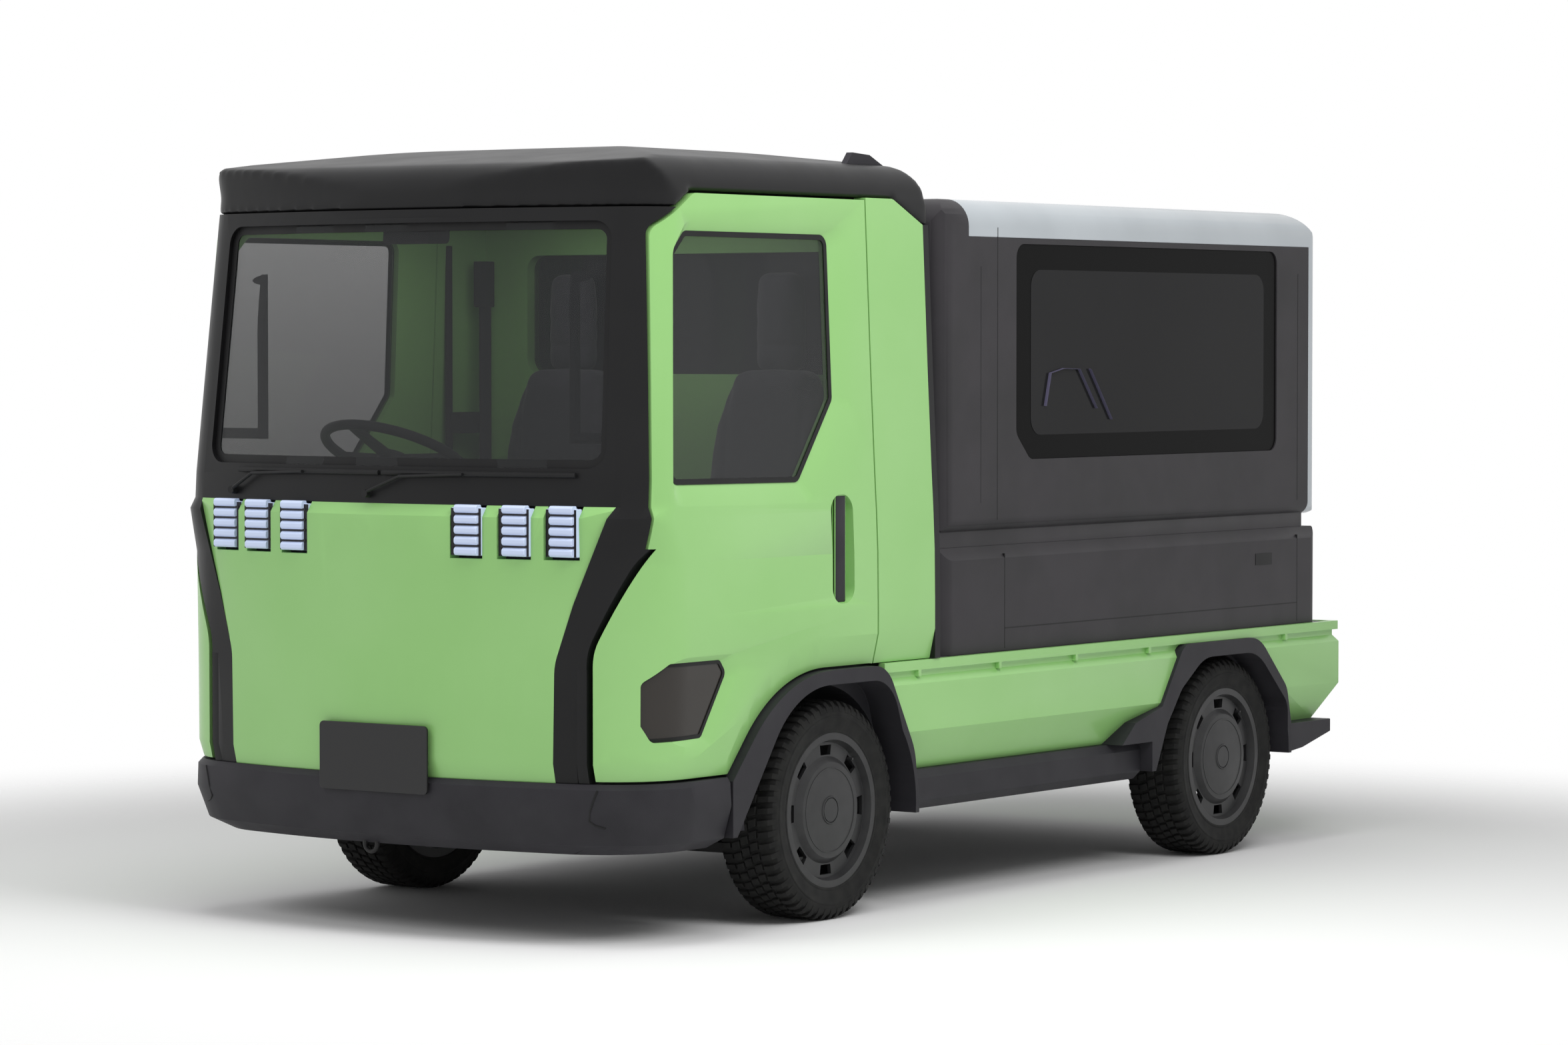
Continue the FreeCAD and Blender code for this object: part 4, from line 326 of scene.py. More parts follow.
for corner, (side, axle) in axle_places.items():
    body = "wheel_" + corner
    place = Matrix.Translation((side * half_track, axle, axle_height)) @ Matrix.Diagonal((side, 1, 1, 1))
    dress(body, wheel_black, "wheel_black", 0.0022)
    for name, source, finish, slot, nodes in (
        (f"tyre_{corner}_tread", tyre_shape, rubber, "tyre_rubber", ["tyre_" + corner]),
        (f"wheel_{corner}_trim", wheel_shape, wheel_black, "wheel_black", []),
    ):
        copy = source.copy()
        bmesh.ops.transform(copy, matrix=place, verts=copy.verts)
        finish_piece(name, copy, finish, body, slot, *nodes, sharp=28)
tyre_shape.free()
wheel_shape.free()


# Foot pan, dashboard and steering: a moulded dark shelf under the windscreen, a foot pan of the same, and
# the wheel on a slanting column. The steering wheel has a steel hoop and three flat spokes under a foamed
# polyurethane skin.
def hoop(shape, radius, thickness, sides, steps):
    """Adds a round bar bent into a ring about the Z axis."""
    upright = Matrix.Translation((radius, 0, 0)) @ Matrix.Rotation(math.pi / 2, 4, "X")
    section = bmesh.ops.create_circle(shape, segments=sides, radius=thickness, matrix=upright)["verts"]
    bmesh.ops.spin(
        shape, geom=section + edges_at(section), cent=(0, 0, 0), axis=(0, 0, 1), dvec=(0, 0, 0),
        angle=math.tau, steps=steps, use_merge=True)


# The leather grain gives the moulding a dull broken sheen. It is drawn coarse enough to show.
moulded = make_finish("grained_polypropylene", "#2A292D", Roughness=0.55, IOR=1.49, Specular_IOR_Level=0.22)
mottle(moulded, "#29282C", "#2F2E32", 0.12)
roughen(moulded, 0.0018, 0.00012, 0.48, 0.62, "ShaderNodeTexVoronoi")
for node in ("cab_floor", "dashboard"):
    dress(node, moulded, "dark_plastic")
# The foam's skin is finely grained, with a soft sheen along the rim.
foamed = make_finish("foamed_polyurethane_skin", "#232326", Roughness=0.5, IOR=1.5, Specular_IOR_Level=0.5)
roughen(foamed, 0.0012, 0.00008, 0.42, 0.55)
hub_place = Vector((-0.34, -1.2, 1.13))
column_lean = math.radians(-25)
rim_radius = 0.18
rim_thickness = 0.0125
spoke_angles = (0, 180, 270)
spoke_low = (0.03, -0.017, -0.022)
spoke_high = (rim_radius - 0.006, 0.017, -0.010)
spoke_root = 1.25
spoke_taper = 3
spoke_rise = 0.06
steering = bmesh.new()
hoop(steering, rim_radius, rim_thickness, 16, 72)
for angle in spoke_angles:
    spoke = slab(steering, spoke_low, spoke_high)
    for corner in spoke:
        corner.co.y *= spoke_root - spoke_taper * corner.co.x
        corner.co.z += spoke_rise * corner.co.x
    turn = Matrix.Rotation(math.radians(angle), 3, "Z")
    bmesh.ops.rotate(steering, verts=spoke, cent=(0, 0, 0), matrix=turn)
bmesh.ops.create_cone(
    steering, cap_ends=True, segments=40, radius1=0.046, radius2=0.038, depth=0.034,
    matrix=Matrix.Translation((0, 0, -0.019)))
column = Matrix.Translation(hub_place) @ Matrix.Rotation(column_lean, 4, "X")
bmesh.ops.transform(steering, matrix=column, verts=steering.verts)
finish_piece("steering_wheel_rim", steering, foamed, "steering_wheel", "dark_plastic", "steering_wheel")


# Seats: foam pads on pressed pans, covered in woven dark cloth sewn along the bolsters, with a head rest on
# its stems. The covers bulge between their seams. Both seats are alike, so the right one is the left one
# moved across.
def regridded(shape, grain):
    """A mesh of the shape with its skin in even small faces, each as wide as the grain."""
    rough = bpy.data.meshes.new("blank")
    shape.to_mesh(rough)
    shape.free()
    blank = bpy.data.objects.new("blank", rough)
    bpy.context.scene.collection.objects.link(blank)
    grid = blank.modifiers.new("grid", "REMESH")
    grid.mode = "VOXEL"
    grid.voxel_size = grain
    even = bpy.data.meshes.new_from_object(blank.evaluated_get(bpy.context.evaluated_depsgraph_get()))
    bpy.data.objects.remove(blank)
    return even


cloth_grain = 0.007
filling_pressure = 4
filling_steps = 20


def swollen(slack, cap):
    """The closed cloth bag pushed out by its filling, no further than the cap."""
    bag = bpy.data.objects.new("bag", slack)
    bpy.context.scene.collection.objects.link(bag)
    cloth = bag.modifiers.new("cloth", "CLOTH")
    cloth.settings.use_pressure = True
    cloth.settings.uniform_pressure_force = filling_pressure
    cloth.settings.effector_weights.gravity = 0
    for step in range(1, filling_steps + 1):
        bpy.context.scene.frame_set(step)
    form = bpy.data.meshes.new_from_object(bag.evaluated_get(bpy.context.evaluated_depsgraph_get()))
    for point, start in zip(form.vertices, slack.vertices):
        move = point.co - start.co
        if move.length > cap:
            point.co = start.co + move * cap / move.length
    bpy.context.scene.frame_set(1)
    bpy.data.objects.remove(bag)
    return form


def sew(mesh, seams, width=0.007, depth=0.0045):
    """Pulls the cover in along seams. Each is an axis, its place, and the axis that the skin faces there."""
    for point in mesh.vertices:
        pull = sum(
            math.exp(-((point.co[axis] - place) / width) ** 2) * abs(point.normal[facing])
            for axis, place, facing in seams)
        point.co -= point.normal * depth * min(pull, 1)


bag_cuts = 7
corner_angle = math.radians(40)


def slack_bag(low, high, lean, widths, rounding):
    """A cushion's slack bag: a block cut in levels, narrowed and leant level by level, its edges rounded."""
    bag = bmesh.new()
    slab(bag, low, high)
    upright = [edge for edge in bag.edges if abs(edge.verts[0].co.z - edge.verts[1].co.z) > 0.01]
    bmesh.ops.subdivide_edges(bag, edges=upright, cuts=bag_cuts)
    middle = (low[0] + high[0]) / 2
    for corner in bag.verts:
        up = (corner.co.z - low[2]) / (high[2] - low[2])
        at = up * (len(widths) - 1)
        first = min(int(at), len(widths) - 2)
        width = widths[first] + (widths[first + 1] - widths[first]) * (at - first)
        corner.co.x = middle + (corner.co.x - middle) * width
        corner.co.y += lean * (1 - up)
    sharp = [edge for edge in bag.edges if edge.calc_face_angle(0) > corner_angle]
    round_edges(bag, sharp, rounding, 3)
    return bag


# The cloth is matt with a faint fuzz. Its weave is drawn coarse enough to show.
seat_cloth = make_finish(
    "woven_seat_cloth", "#3F3D43", Roughness=0.9, Sheen_Weight=0.2, Specular_IOR_Level=0.2)
mottle(seat_cloth, "#3C3A40", "#434147", 0.006, 1.0)
roughen(seat_cloth, 0.0015, 0.00004, 0.82, 0.95)
seat_place = 0.33
back_widths = (1, 1, 1, 0.97, 0.86, 0.56)
head_rest_widths = (0.96, 1, 1, 0.86)
pads = (
    ("cushion", "seat_cushions", 0.010, ((0, 0.205, 2), (0, 0.455, 2), (1, -0.79, 2)),
     ((0.127, -0.998, 0.63), (0.533, -0.587, 0.745), 0, (1, 1), 0.03)),
    ("back", "seat_backs", 0.009, ((0, 0.215, 1), (0, 0.445, 1), (2, 1.02, 1)),
     ((0.14, -0.550, 0.768), (0.52, -0.453, 1.346), -0.040, back_widths, 0.03)),
    ("head_rest", "seat_backs", 0.006, ((2, 1.40, 1),),
     ((0.262, -0.520, 1.334), (0.398, -0.4555, 1.584), 0, head_rest_widths, 0.026)),
)
for name, node, cap, seams, bag_sizes in pads:
    form = regridded(slack_bag(*bag_sizes), cloth_grain)
    form = swollen(form, cap)
    sew(form, seams)
    for side, shift in (("left", 0), ("right", -2 * seat_place)):
        mesh = form.copy()
        mesh.transform(Matrix.Translation((shift, 0, 0)))
        pad = link(f"{name}_pad_{side}", shade(mesh, seat_cloth, 60), "chassis", "seat_fabric", node)
        fine = pad.modifiers.new("fine", "SUBSURF")
        fine.levels = 1
        fine.render_levels = 1
stem_radius = 0.006
stem_spread = 0.035
stems = bmesh.new()
for middle in (-seat_place, seat_place):
    for post in (-stem_spread, stem_spread):
        bmesh.ops.create_cone(
            stems, cap_ends=True, segments=16, radius1=stem_radius, radius2=stem_radius, depth=0.07,
            matrix=Matrix.Translation((middle + post, -0.492, 1.34)))
# Plated rod is bright, and mirrors with a slight blur.
bright_steel = make_finish("plated_steel_rod", "#8E9092", Roughness=0.25, Metallic=1.0)
finish_piece("head_rest_stems", stems, bright_steel, "chassis", "dark_plastic")


# Black cab frame: pressed steel pillars, cowl and rear hoop, with the roof panel bonded on top. A closing
# strip fills each pillar's foot in front of the door. The paint is a deep satin black with soft highlights.
def softened(node, grain, passes):
    """The node's shape with every edge and corner rounded as a deep pressing is, by about the grain."""
    even = regridded(merged(node), grain)
    shape = bmesh.new()
    shape.from_mesh(even)
    for smoothing in range(passes):
        bmesh.ops.smooth_vert(
            shape, verts=shape.verts, factor=0.5, use_axis_x=True, use_axis_y=True, use_axis_z=True)
    return shape


def finish_side(name, shape, finish, body, slot, side):
    """Finishes a piece made for the left side, mirrored where it is for the right."""
    bmesh.ops.scale(shape, verts=shape.verts, vec=(side, 1, 1))
    finish_piece(name, shape, finish, body, slot)


black = make_finish(
    "satin_black_paint", "#171718", Roughness=0.4, IOR=1.5, Specular_IOR_Level=0.18, Coat_Weight=0.06,
    Coat_Roughness=0.3)
mottle(black, "#161617", "#1A1A1B", 0.25)
roughen(black, 0.002, 0.00002, 0.36, 0.48)
roof_grain = 0.0085
roof_passes = 4
dress("cab_pillar_frame", black, "black_gloss", 0.004)
dress("cab_roof", black, "black_gloss", 0, 70, softened("cab_roof", roof_grain, roof_passes))
hands = ((1, "left"), (-1, "right"))
foot_outline = ((0.546, -1.6212), (0.5507, -1.6221), (0.5755, -1.6163), (0.5755, -1.58), (0.5385, -1.588))
foot_middle = 0.431
foot_ends = ((0.6505, 0), (0.386, 0.0105))
for side, hand in hands:
    foot = bmesh.new()
    inner = foot.faces.new([foot.verts.new((x, y, foot_middle)) for x, y in foot_outline])
    for height, back in foot_ends:
        pushed = bmesh.ops.extrude_face_region(foot, geom=[inner], use_keep_orig=True)
        bmesh.ops.translate(foot, verts=corners_in(pushed["geom"]), vec=(0, back, height - foot_middle))
    bmesh.ops.delete(foot, geom=[inner], context="FACES_ONLY")
    finish_side("pillar_foot_" + hand, foot, black, "chassis", "black_gloss", side)
dress("cab_trim", moulded, "dark_plastic", 0.003)


# Green body panels: pressed sheet with a two-coat paint, a pale leaf green under clear lacquer that keeps the
# faint ripple of sprayed paint, about 3 mm from crest to crest. The doors wrap the front corners, the nose
# panel sits between the black pillars, and the skirts hang on the deck.
green = make_finish(
    "leaf_green_lacquer", "#95CA7B", Roughness=0.34, IOR=1.5, Specular_IOR_Level=0.4, Coat_Weight=0.25,
    Coat_Roughness=0.1)
mottle(green, "#93C978", "#98CC7E", 0.4)
roughen(green, 0.003, 0.00002, 0.32, 0.42)
for node, edge in (
    ("front_panel", 0.003), ("door_left", 0.004), ("door_right", 0.004), ("cab_back", 0.005),
    ("deck_skirts", 0.002),
):
    dress(node, green, "green_paint", edge)


# Door furniture: a dark bar to pull on in each door's recess, black rubber seals round the panes,
# the latch with its striker and the seat belt on the pillar behind. All are pushed or screwed on.
outward_share = 0.6
curve_angle = math.radians(4)


def band(name, node, outward, width, proud, finish, body, slot, keep):
    """A strip of the given width round the edge of a pane's outer skin, standing a little proud."""
    strip = merged(node)
    outward = Vector(outward)
    away = [
        face for face in strip.faces
        if face.normal.dot(outward) < outward_share or not keep(face.calc_center_median())]
    bmesh.ops.delete(strip, geom=away, context="FACES")
    bmesh.ops.dissolve_limit(strip, angle_limit=curve_angle, verts=strip.verts, edges=strip.edges)
    made = bmesh.ops.inset_region(
        strip, faces=strip.faces[:], thickness=width, use_boundary=True, use_even_offset=True)["faces"]
    inside = [face for face in strip.faces if face not in set(made)]
    bmesh.ops.delete(strip, geom=inside, context="FACES")
    pushed = bmesh.ops.extrude_face_region(strip, geom=strip.faces[:], use_keep_orig=True)
    bmesh.ops.translate(strip, verts=corners_in(pushed["geom"]), vec=outward * proud)
    finish_piece(name, strip, finish, body, slot)


# Extruded rubber makes a dull, even black line. The same black also paints the shade in the box's grooves,
# its louvre and the bumper's splits.
rubber_and_painted_shade = make_finish(
    "extruded_rubber_also_shade_black", "#131314", Roughness=0.6, IOR=1.52, Specular_IOR_Level=0.3)
roughen(rubber_and_painted_shade, 0.002, 0.00003, 0.52, 0.68)
# Woven webbing is matt and ribbed.
webbing = make_finish("woven_belt_webbing", "#39353C", Roughness=0.85, Specular_IOR_Level=0.2)
roughen(webbing, 0.0016, 0.0002, 0.78, 0.92)
pull_low = (0.7085, -0.813, 0.7755)
pull_high = (0.7205, -0.769, 1.0365)
pull_rounding = 0.0045
latch_bars = (
    ((0.652, -0.606, 0.60), (0.664, -0.586, 1.66)),
    ((0.618, -0.60, 1.17), (0.652, -0.50, 1.225)),
    ((0.60, -0.535, 1.50), (0.625, -0.475, 1.62)),
)
latch_rounding = 0.003
belt_low = (0.607, -0.53, 0.86)
belt_high = (0.6095, -0.482, 1.56)
window_split = 0.85
seals = (
    ("main", 0.013, lambda place: place.z > window_split),
    ("low", 0.009, lambda place: place.z < window_split),
)
seal_proud = 0.0025
for side, hand in hands:
    door = "door_" + hand
    pull = bmesh.new()
    slab(pull, pull_low, pull_high)
    round_edges(pull, pull.edges[:], pull_rounding, 3)
    finish_side(door + "_pull", pull, moulded, door, "dark_plastic", side)
    for part, width, keep in seals:
        band(
            f"{door}_{part}_seal", door + "_glass", (side, 0, 0), width, seal_proud, rubber_and_painted_shade, door,
            "dark_plastic", keep)
    fittings = bmesh.new()
    for low, high in latch_bars:
        slab(fittings, low, high)
    round_edges(fittings, fittings.edges[:], latch_rounding, 2)
    finish_side("pillar_fittings_" + hand, fittings, moulded, "chassis", "dark_plastic", side)
    belt = bmesh.new()
    slab(belt, belt_low, belt_high)
    long_edges = [edge for edge in belt.edges if edge.calc_length() > 0.5]
    bmesh.ops.subdivide_edges(belt, edges=long_edges, cuts=8)
    finish_side("belt_" + hand, belt, webbing, "chassis", "seat_fabric", side)


# Glass: laminated windscreen and toughened side panes with a grey tint, and smoked plastic in the low
# windows, set in rubber seals. A pane hides nearly half of what is behind it, and more towards its foot,
# where shade is painted into the pane, and it mirrors more as it turns away.
# Between these heights the painted shade fades from the panes' foot up to their top.
painted_shade_foot = 1.1
painted_shade_top = 1.65


def make_pane(name, colour, foot_cover, top_cover):
    """A tinted pane, a little darker at its foot, where shade is painted in."""
    finish = make_finish(name, colour, Roughness=0.03, IOR=1.5, Specular_IOR_Level=0.5)
    tree = finish.node_tree
    place = add_node(tree, "ShaderNodeTexCoord", {}).outputs["Object"]
    height = add_node(tree, "ShaderNodeSeparateXYZ", {"Vector": place})
    cover = add_node(tree, "ShaderNodeMapRange", {
        "Value": height.outputs["Z"], "From Min": painted_shade_foot, "From Max": painted_shade_top, "To Min": foot_cover,
        "To Max": top_cover,
    })
    turn = add_node(tree, "ShaderNodeLayerWeight", {"Blend": 0.5})
    sheen = add_node(tree, "ShaderNodeMath", {0: turn.outputs["Facing"], 1: 5.0}, operation="POWER")
    whole = add_node(
        tree, "ShaderNodeMath", {0: cover.outputs["Result"], 1: sheen.outputs["Value"]}, operation="ADD",
        use_clamp=True)
    tree.links.new(whole.outputs["Value"], tree.nodes["Principled BSDF"].inputs["Alpha"])
    return finish


# Half covered at the foot against 0.38 at the top: the difference is painted shade.
clear_glass = make_pane("tinted_glass_with_painted_shade", "#1D2022", 0.5, 0.38)
dress("cab_glass", clear_glass, "window_glass", 0)
# Smoked plastic is brownish, and hazier than the glass beside it.
smoked = make_finish("smoked_polycarbonate", "#2C2824", Roughness=0.2, IOR=1.58, Specular_IOR_Level=0.3)
roughen(smoked, 0.005, 0.00002, 0.18, 0.26)
for hand in ("left", "right"):
    node = f"door_{hand}_glass"
    for part, finish, above in (("main", clear_glass, True), ("low", smoked, False)):
        pane = merged(node)
        other = [corner for corner in pane.verts if (corner.co.z > window_split) != above]
        bmesh.ops.delete(pane, geom=other, context="VERTS")
        dress(node, finish, "window_glass", 0, shape=pane, name=f"{node}_{part}")
screen_seal_width = 0.02
screen_seal_proud = 0.002
band(
    "windscreen_seal", "cab_glass", (0, -1, 0), screen_seal_width, screen_seal_proud, rubber_and_painted_shade, "chassis",
    "dark_plastic", lambda place: place.y < -1)


# Wipers: a pressed arm on a spindle in the cowl carries each rubber blade, parked along the windscreen's
# foot. Each arm is an oval bar, lies a little proud of its blade, and shares its dull black finish.
def tube(shape, points, radius, sides, flat=1.0):
    """A bar through the points with closed ends. Flat below one makes its section oval."""
    rings = []
    last = len(points) - 1
    for at, point in enumerate(points):
        ahead = Vector(points[min(at + 1, last)]) - Vector(points[max(at - 1, 0)])
        place = Matrix.LocRotScale(Vector(point), ahead.to_track_quat("Z", "Y"), Vector((1, flat, 1)))
        ring = bmesh.ops.create_circle(
            shape, segments=sides, radius=radius, cap_ends=at in (0, last), matrix=place)["verts"]
        rings.append(edges_at(ring))
    for first, second in zip(rings, rings[1:]):
        bmesh.ops.bridge_loops(shape, edges=first + second)


screen_foot_y = -1.6651
screen_foot_z = 1.09
screen_lean = 0.1063
screen_bow = 4.82


def on_screen(x, z, proud):
    """A point that far in front of the windscreen's outer skin."""
    return (x, screen_foot_y + screen_lean * (z - screen_foot_z) + x * x / screen_bow - proud, z)


wiper_spans = ((-0.50, -0.42, 0.0), (-0.035, 0.07, 0.54))
spindle_height = 1.05
blade_height = 1.1
blade_overhang = 0.06
blade_steps = 10
arm_radius = 0.0055
arm_flatness = 0.7
blade_radius = 0.0048
blade_flatness = 1.3
for number, (spindle, elbow, tip) in enumerate(wiper_spans):
    wiper = bmesh.new()
    arm = [
        on_screen(spindle, spindle_height, 0.004), on_screen(spindle + 0.01, 1.056, 0.014),
        on_screen(elbow, 1.092, 0.017), on_screen(elbow + 0.18, 1.099, 0.016),
    ]
    tube(wiper, arm, arm_radius, 8, arm_flatness)
    nut_place = Matrix.Translation(on_screen(spindle, spindle_height, 0.005))
    bmesh.ops.create_cone(
        wiper, cap_ends=True, segments=20, radius1=0.011, radius2=0.009, depth=0.02,
        matrix=nut_place @ Matrix.Rotation(math.pi / 2, 4, "X"))
    start = elbow - blade_overhang
    stride = (tip - start) / blade_steps
    blade = [on_screen(start + stride * step, blade_height, 0.008) for step in range(blade_steps + 1)]
    tube(wiper, blade, blade_radius, 8, blade_flatness)
    finish_piece(f"wiper_{number}", wiper, rubber_and_painted_shade, "chassis", "dark_plastic")


# Headlamps: five stacked blocks of clear polycarbonate a strip, each with a cold white light source behind
# it. The blocks are moulded in one, clipped into dark slots, and run over the panel's top bevel. The tail
# lamps are one red lens with an amber and a clear part, prismatic inside.
# The lit plastic glows a cold, faintly blue white.
lamp_lens = make_finish("lit_polycarbonate", "#C9D6F2", Roughness=0.16, IOR=1.58, Emission_Strength=0.12)
lamp_lens.node_tree.nodes["Principled BSDF"].inputs["Emission Color"].default_value = linear("#C4D4F8")
dress("headlamps", lamp_lens, "lamp_lens", 0.0035)
lamp_strips = ((0.219, -1.6712), (0.347, -1.6534), (0.468, -1.6301))
bezel_foot = 0.9105
bezel_top = 1.0205
bezel_sides = ((0.0005, 0.0132), (0.0828, 0.0885))
bezel_proud = 0.0012
bezel_depth = 0.001
rib_start = 0.006
rib_end = 0.084
rib_count = 4
rib_first = 0.9335
rib_pitch = 0.02485
rib_half = 0.0026
rib_proud = 0.004
for side, hand in hands:
    bezel = bmesh.new()
    for edge, face in lamp_strips:
        back = face + bezel_depth
        for near, far in bezel_sides:
            slab(bezel, (edge + near, face - bezel_proud, bezel_foot), (edge + far, back, bezel_top))
        for row in range(rib_count):
            middle = rib_first + rib_pitch * row
            slab(
                bezel, (edge + rib_start, face - rib_proud, middle - rib_half),
                (edge + rib_end, back, middle + rib_half))
    finish_side("lamp_bezel_" + hand, bezel, moulded, "chassis", "dark_plastic", side)
tail_lens = make_finish("red_polycarbonate", "#8E1418", Roughness=0.15, IOR=1.58)
roughen(tail_lens, 0.006, 0.0003, 0.12, 0.2, "ShaderNodeTexVoronoi")
tail_foot = 0.452
tail_top = 0.552
red_starts = 0.25
amber_starts = 0.72
tail_tree = tail_lens.node_tree
tail_place = add_node(tail_tree, "ShaderNodeTexCoord", {}).outputs["Object"]
tail_height = add_node(tail_tree, "ShaderNodeSeparateXYZ", {"Vector": tail_place})
tail_share = add_node(tail_tree, "ShaderNodeMapRange", {
    "Value": tail_height.outputs["Z"], "From Min": tail_foot, "From Max": tail_top,
})
tail_bands = add_node(tail_tree, "ShaderNodeValToRGB", {"Fac": tail_share.outputs["Result"]})
tail_ramp = tail_bands.color_ramp
tail_ramp.interpolation = "CONSTANT"
tail_ramp.elements[0].color = linear("#C9CBCC")
tail_ramp.elements[1].position = red_starts
tail_ramp.elements[1].color = linear("#8E1418")
tail_ramp.elements.new(amber_starts).color = linear("#C46A14")
tail_tree.links.new(tail_bands.outputs["Color"], tail_tree.nodes["Principled BSDF"].inputs["Base Color"])
dress("tail_lamps", tail_lens, "tail_lens", 0.002)


# Bumpers, wheel arches, sills and the blank plate: moulded polypropylene with a fine leather grain, bolted
# on. The front bumper is split near each corner, where the shade in the split is painted as a thin black
# bead, and a forged towing eye shows under its middle. The plate is enamelled sheet.
for node in ("front_bumper", "rear_bumper", "arch_flares", "side_sills"):
    dress(node, moulded, "dark_plastic", 0.0025)
bumper_skin = BVHTree.FromBMesh(merged("front_bumper"))
# Each split is a thin near black bead laid on the skin: painted shade in the gap.
split_path = ((0.602, 0.372), (0.594, 0.35), (0.586, 0.325), (0.580, 0.30), (0.592, 0.29), (0.612, 0.283))
split_proud = 0.0003
split_radius = 0.0024
ahead_of_nose = -2
split = bmesh.new()
for side in (1, -1):
    crease = []
    for x, z in split_path:
        hit = bumper_skin.ray_cast(Vector((side * x, ahead_of_nose, z)), Vector((0, 1, 0)))
        place, normal = hit[:2]
        crease.append(place + normal * split_proud)
    tube(split, crease, split_radius, 6)
finish_piece("bumper_split_shade", split, rubber_and_painted_shade, "chassis", "dark_plastic")
eye_place = Vector((-0.063, -1.628, 0.213))
eye_radius = 0.019
eye_thickness = 0.0055
towing = bmesh.new()
hoop(towing, eye_radius, eye_thickness, 12, 32)
eye_stand = Matrix.Translation(eye_place) @ Matrix.Rotation(math.pi / 2, 4, "X")
bmesh.ops.transform(towing, matrix=eye_stand, verts=towing.verts)
finish_piece("towing_eye", towing, chassis_paint, "chassis", "frame_black")
# Enamel is a smooth black with a clean soft gloss.
plate_black = make_finish("black_enamel", "#19191A", Roughness=0.35, IOR=1.5, Specular_IOR_Level=0.4)
roughen(plate_black, 0.004, 0.00002, 0.3, 0.4)
dress("number_plate", plate_black, "plate_black", 0.002)


# Cargo body: two rotationally moulded boxes in dark grey with a painted aluminium roof shell, on a steel
# deck. The mouldings have a coarse even grain and pressed joint lines; the shade in these grooves and in the
# louvre is painted as thin near black strips. The side windows are dark glass, bonded in, with a black
# ceramic frit round the edge.
# Rolled and painted steel is grey with a broad soft gloss.
deck_steel = make_finish("painted_deck_steel", "#3D3E3F", Roughness=0.45, IOR=1.5, Specular_IOR_Level=0.35)
roughen(deck_steel, 0.01, 0.0001, 0.38, 0.55)
dress("load_deck", deck_steel, "deck_metal")
box_grey = make_finish("moulded_dark_grey", "#343235", Roughness=0.5, IOR=1.49, Specular_IOR_Level=0.2)
mottle(box_grey, "#313032", "#373538", 0.2)
roughen(box_grey, 0.0022, 0.0001, 0.42, 0.56, "ShaderNodeTexVoronoi")
for node in ("box_lower_shell", "box_lower_door", "box_upper_shell", "box_hatch"):
    dress(node, box_grey, "box_grey", 0.004)
# Metallic paint under lacquer is a pale silver, brightest where it faces the light.
silver = make_finish(
    "silver_metallic_paint", "#B4BBC0", Roughness=0.34, Metallic=0.35, Coat_Weight=0.4, Coat_Roughness=0.1)
mottle(silver, "#B1B8BD", "#B9C0C5", 0.3)
roughen(silver, 0.003, 0.00002, 0.3, 0.4)
dress("box_roof", silver, "box_silver", 0.0025)
# Fired ceramic is nearly black, and mirrors very little.
frit = make_finish("black_ceramic_frit", "#090909", Roughness=0.3, IOR=1.52, Specular_IOR_Level=0.04)
roughen(frit, 0.003, 0.00001, 0.26, 0.34)
dress("box_windows", frit, "dark_glass", 0.001)
# Privacy glass is a dark even grey.
dark_glass = make_finish("privacy_glass", "#222223", Roughness=0.12, IOR=1.52, Specular_IOR_Level=0.06)
mottle(dark_glass, "#222223", "#252526", 0.5)
# The pressed grooves between the mouldings and the louvre's slots are thin near black strips: painted shade.
groove_shade_strips = (
    ((-0.0565, 0.955), (-0.0535, 1.70)), ((-0.134, 1.0), (-0.1325, 1.60)), ((1.503, 0.965), (1.506, 1.60)),
    ((-0.0215, 0.625), (-0.0185, 0.868)), ((1.5035, 0.625), (1.5065, 0.868)),
    ((-0.02, 0.6755), (1.505, 0.6785)),
)
line_depth = 0.694
line_face = 0.7003
louvre_shade_low = (line_depth, 1.27, 0.79)
louvre_shade_high = (0.7012, 1.36, 0.822)
pane_low = (0.690, 0.108, 1.169)
pane_high = (0.6968, 1.316, 1.595)
pane_rounding = 0.045
for side, hand in hands:
    lines = bmesh.new()
    for low, high in groove_shade_strips:
        slab(lines, (line_depth, *low), (line_face, *high))
    slab(lines, louvre_shade_low, louvre_shade_high)
    finish_side("groove_shade_strips_" + hand, lines, rubber_and_painted_shade, "chassis", "dark_plastic", side)
    pane = bmesh.new()
    slab(pane, pane_low, pane_high)
    across = [edge for edge in pane.edges if abs(edge.verts[0].co.x - edge.verts[1].co.x) > 0.003]
    round_edges(pane, across, pane_rounding, 6)
    finish_side("body_pane_" + hand, pane, dark_glass, "chassis", "dark_glass", side)


# Body fittings: a bent tube frame shows in each dark window, and the hatch and the flap have two pressed
# hinges and a flush pull with a dark grip each. The hinges and pulls are screwed on, and ride on the panel
# that they open.
# Enamelled tube, in the dim colour that it has through the dark glass.
rack_steel = make_finish("grey_enamelled_tube", "#57546A", Roughness=0.45, IOR=1.5, Specular_IOR_Level=0.3)
rack_paths = (
    ((0.172, 1.243), (0.196, 1.328), (0.262, 1.340), (0.338, 1.338), (0.425, 1.235)),
    ((0.392, 1.338), (0.50, 1.205)),
)
rack_depth = 0.6966
rack_radius = 0.009
rack_flatness = 0.12
for side, hand in hands:
    rack = bmesh.new()
    for path in rack_paths:
        tube(rack, [(side * rack_depth, y, z) for y, z in path], rack_radius, 8, rack_flatness)
    finish_piece("body_rack_" + hand, rack, rack_steel, "chassis", "dark_plastic")
opening_panels = (("hatch", "box_hatch", 1.634, 1.03, 1.583), ("flap", "box_lower_door", 1.64, 0.815, 0.659))
let_in = 0.004
hinge_places = (-0.42, 0.42)
hinge_half = 0.04
fittings_rounding = 0.0015
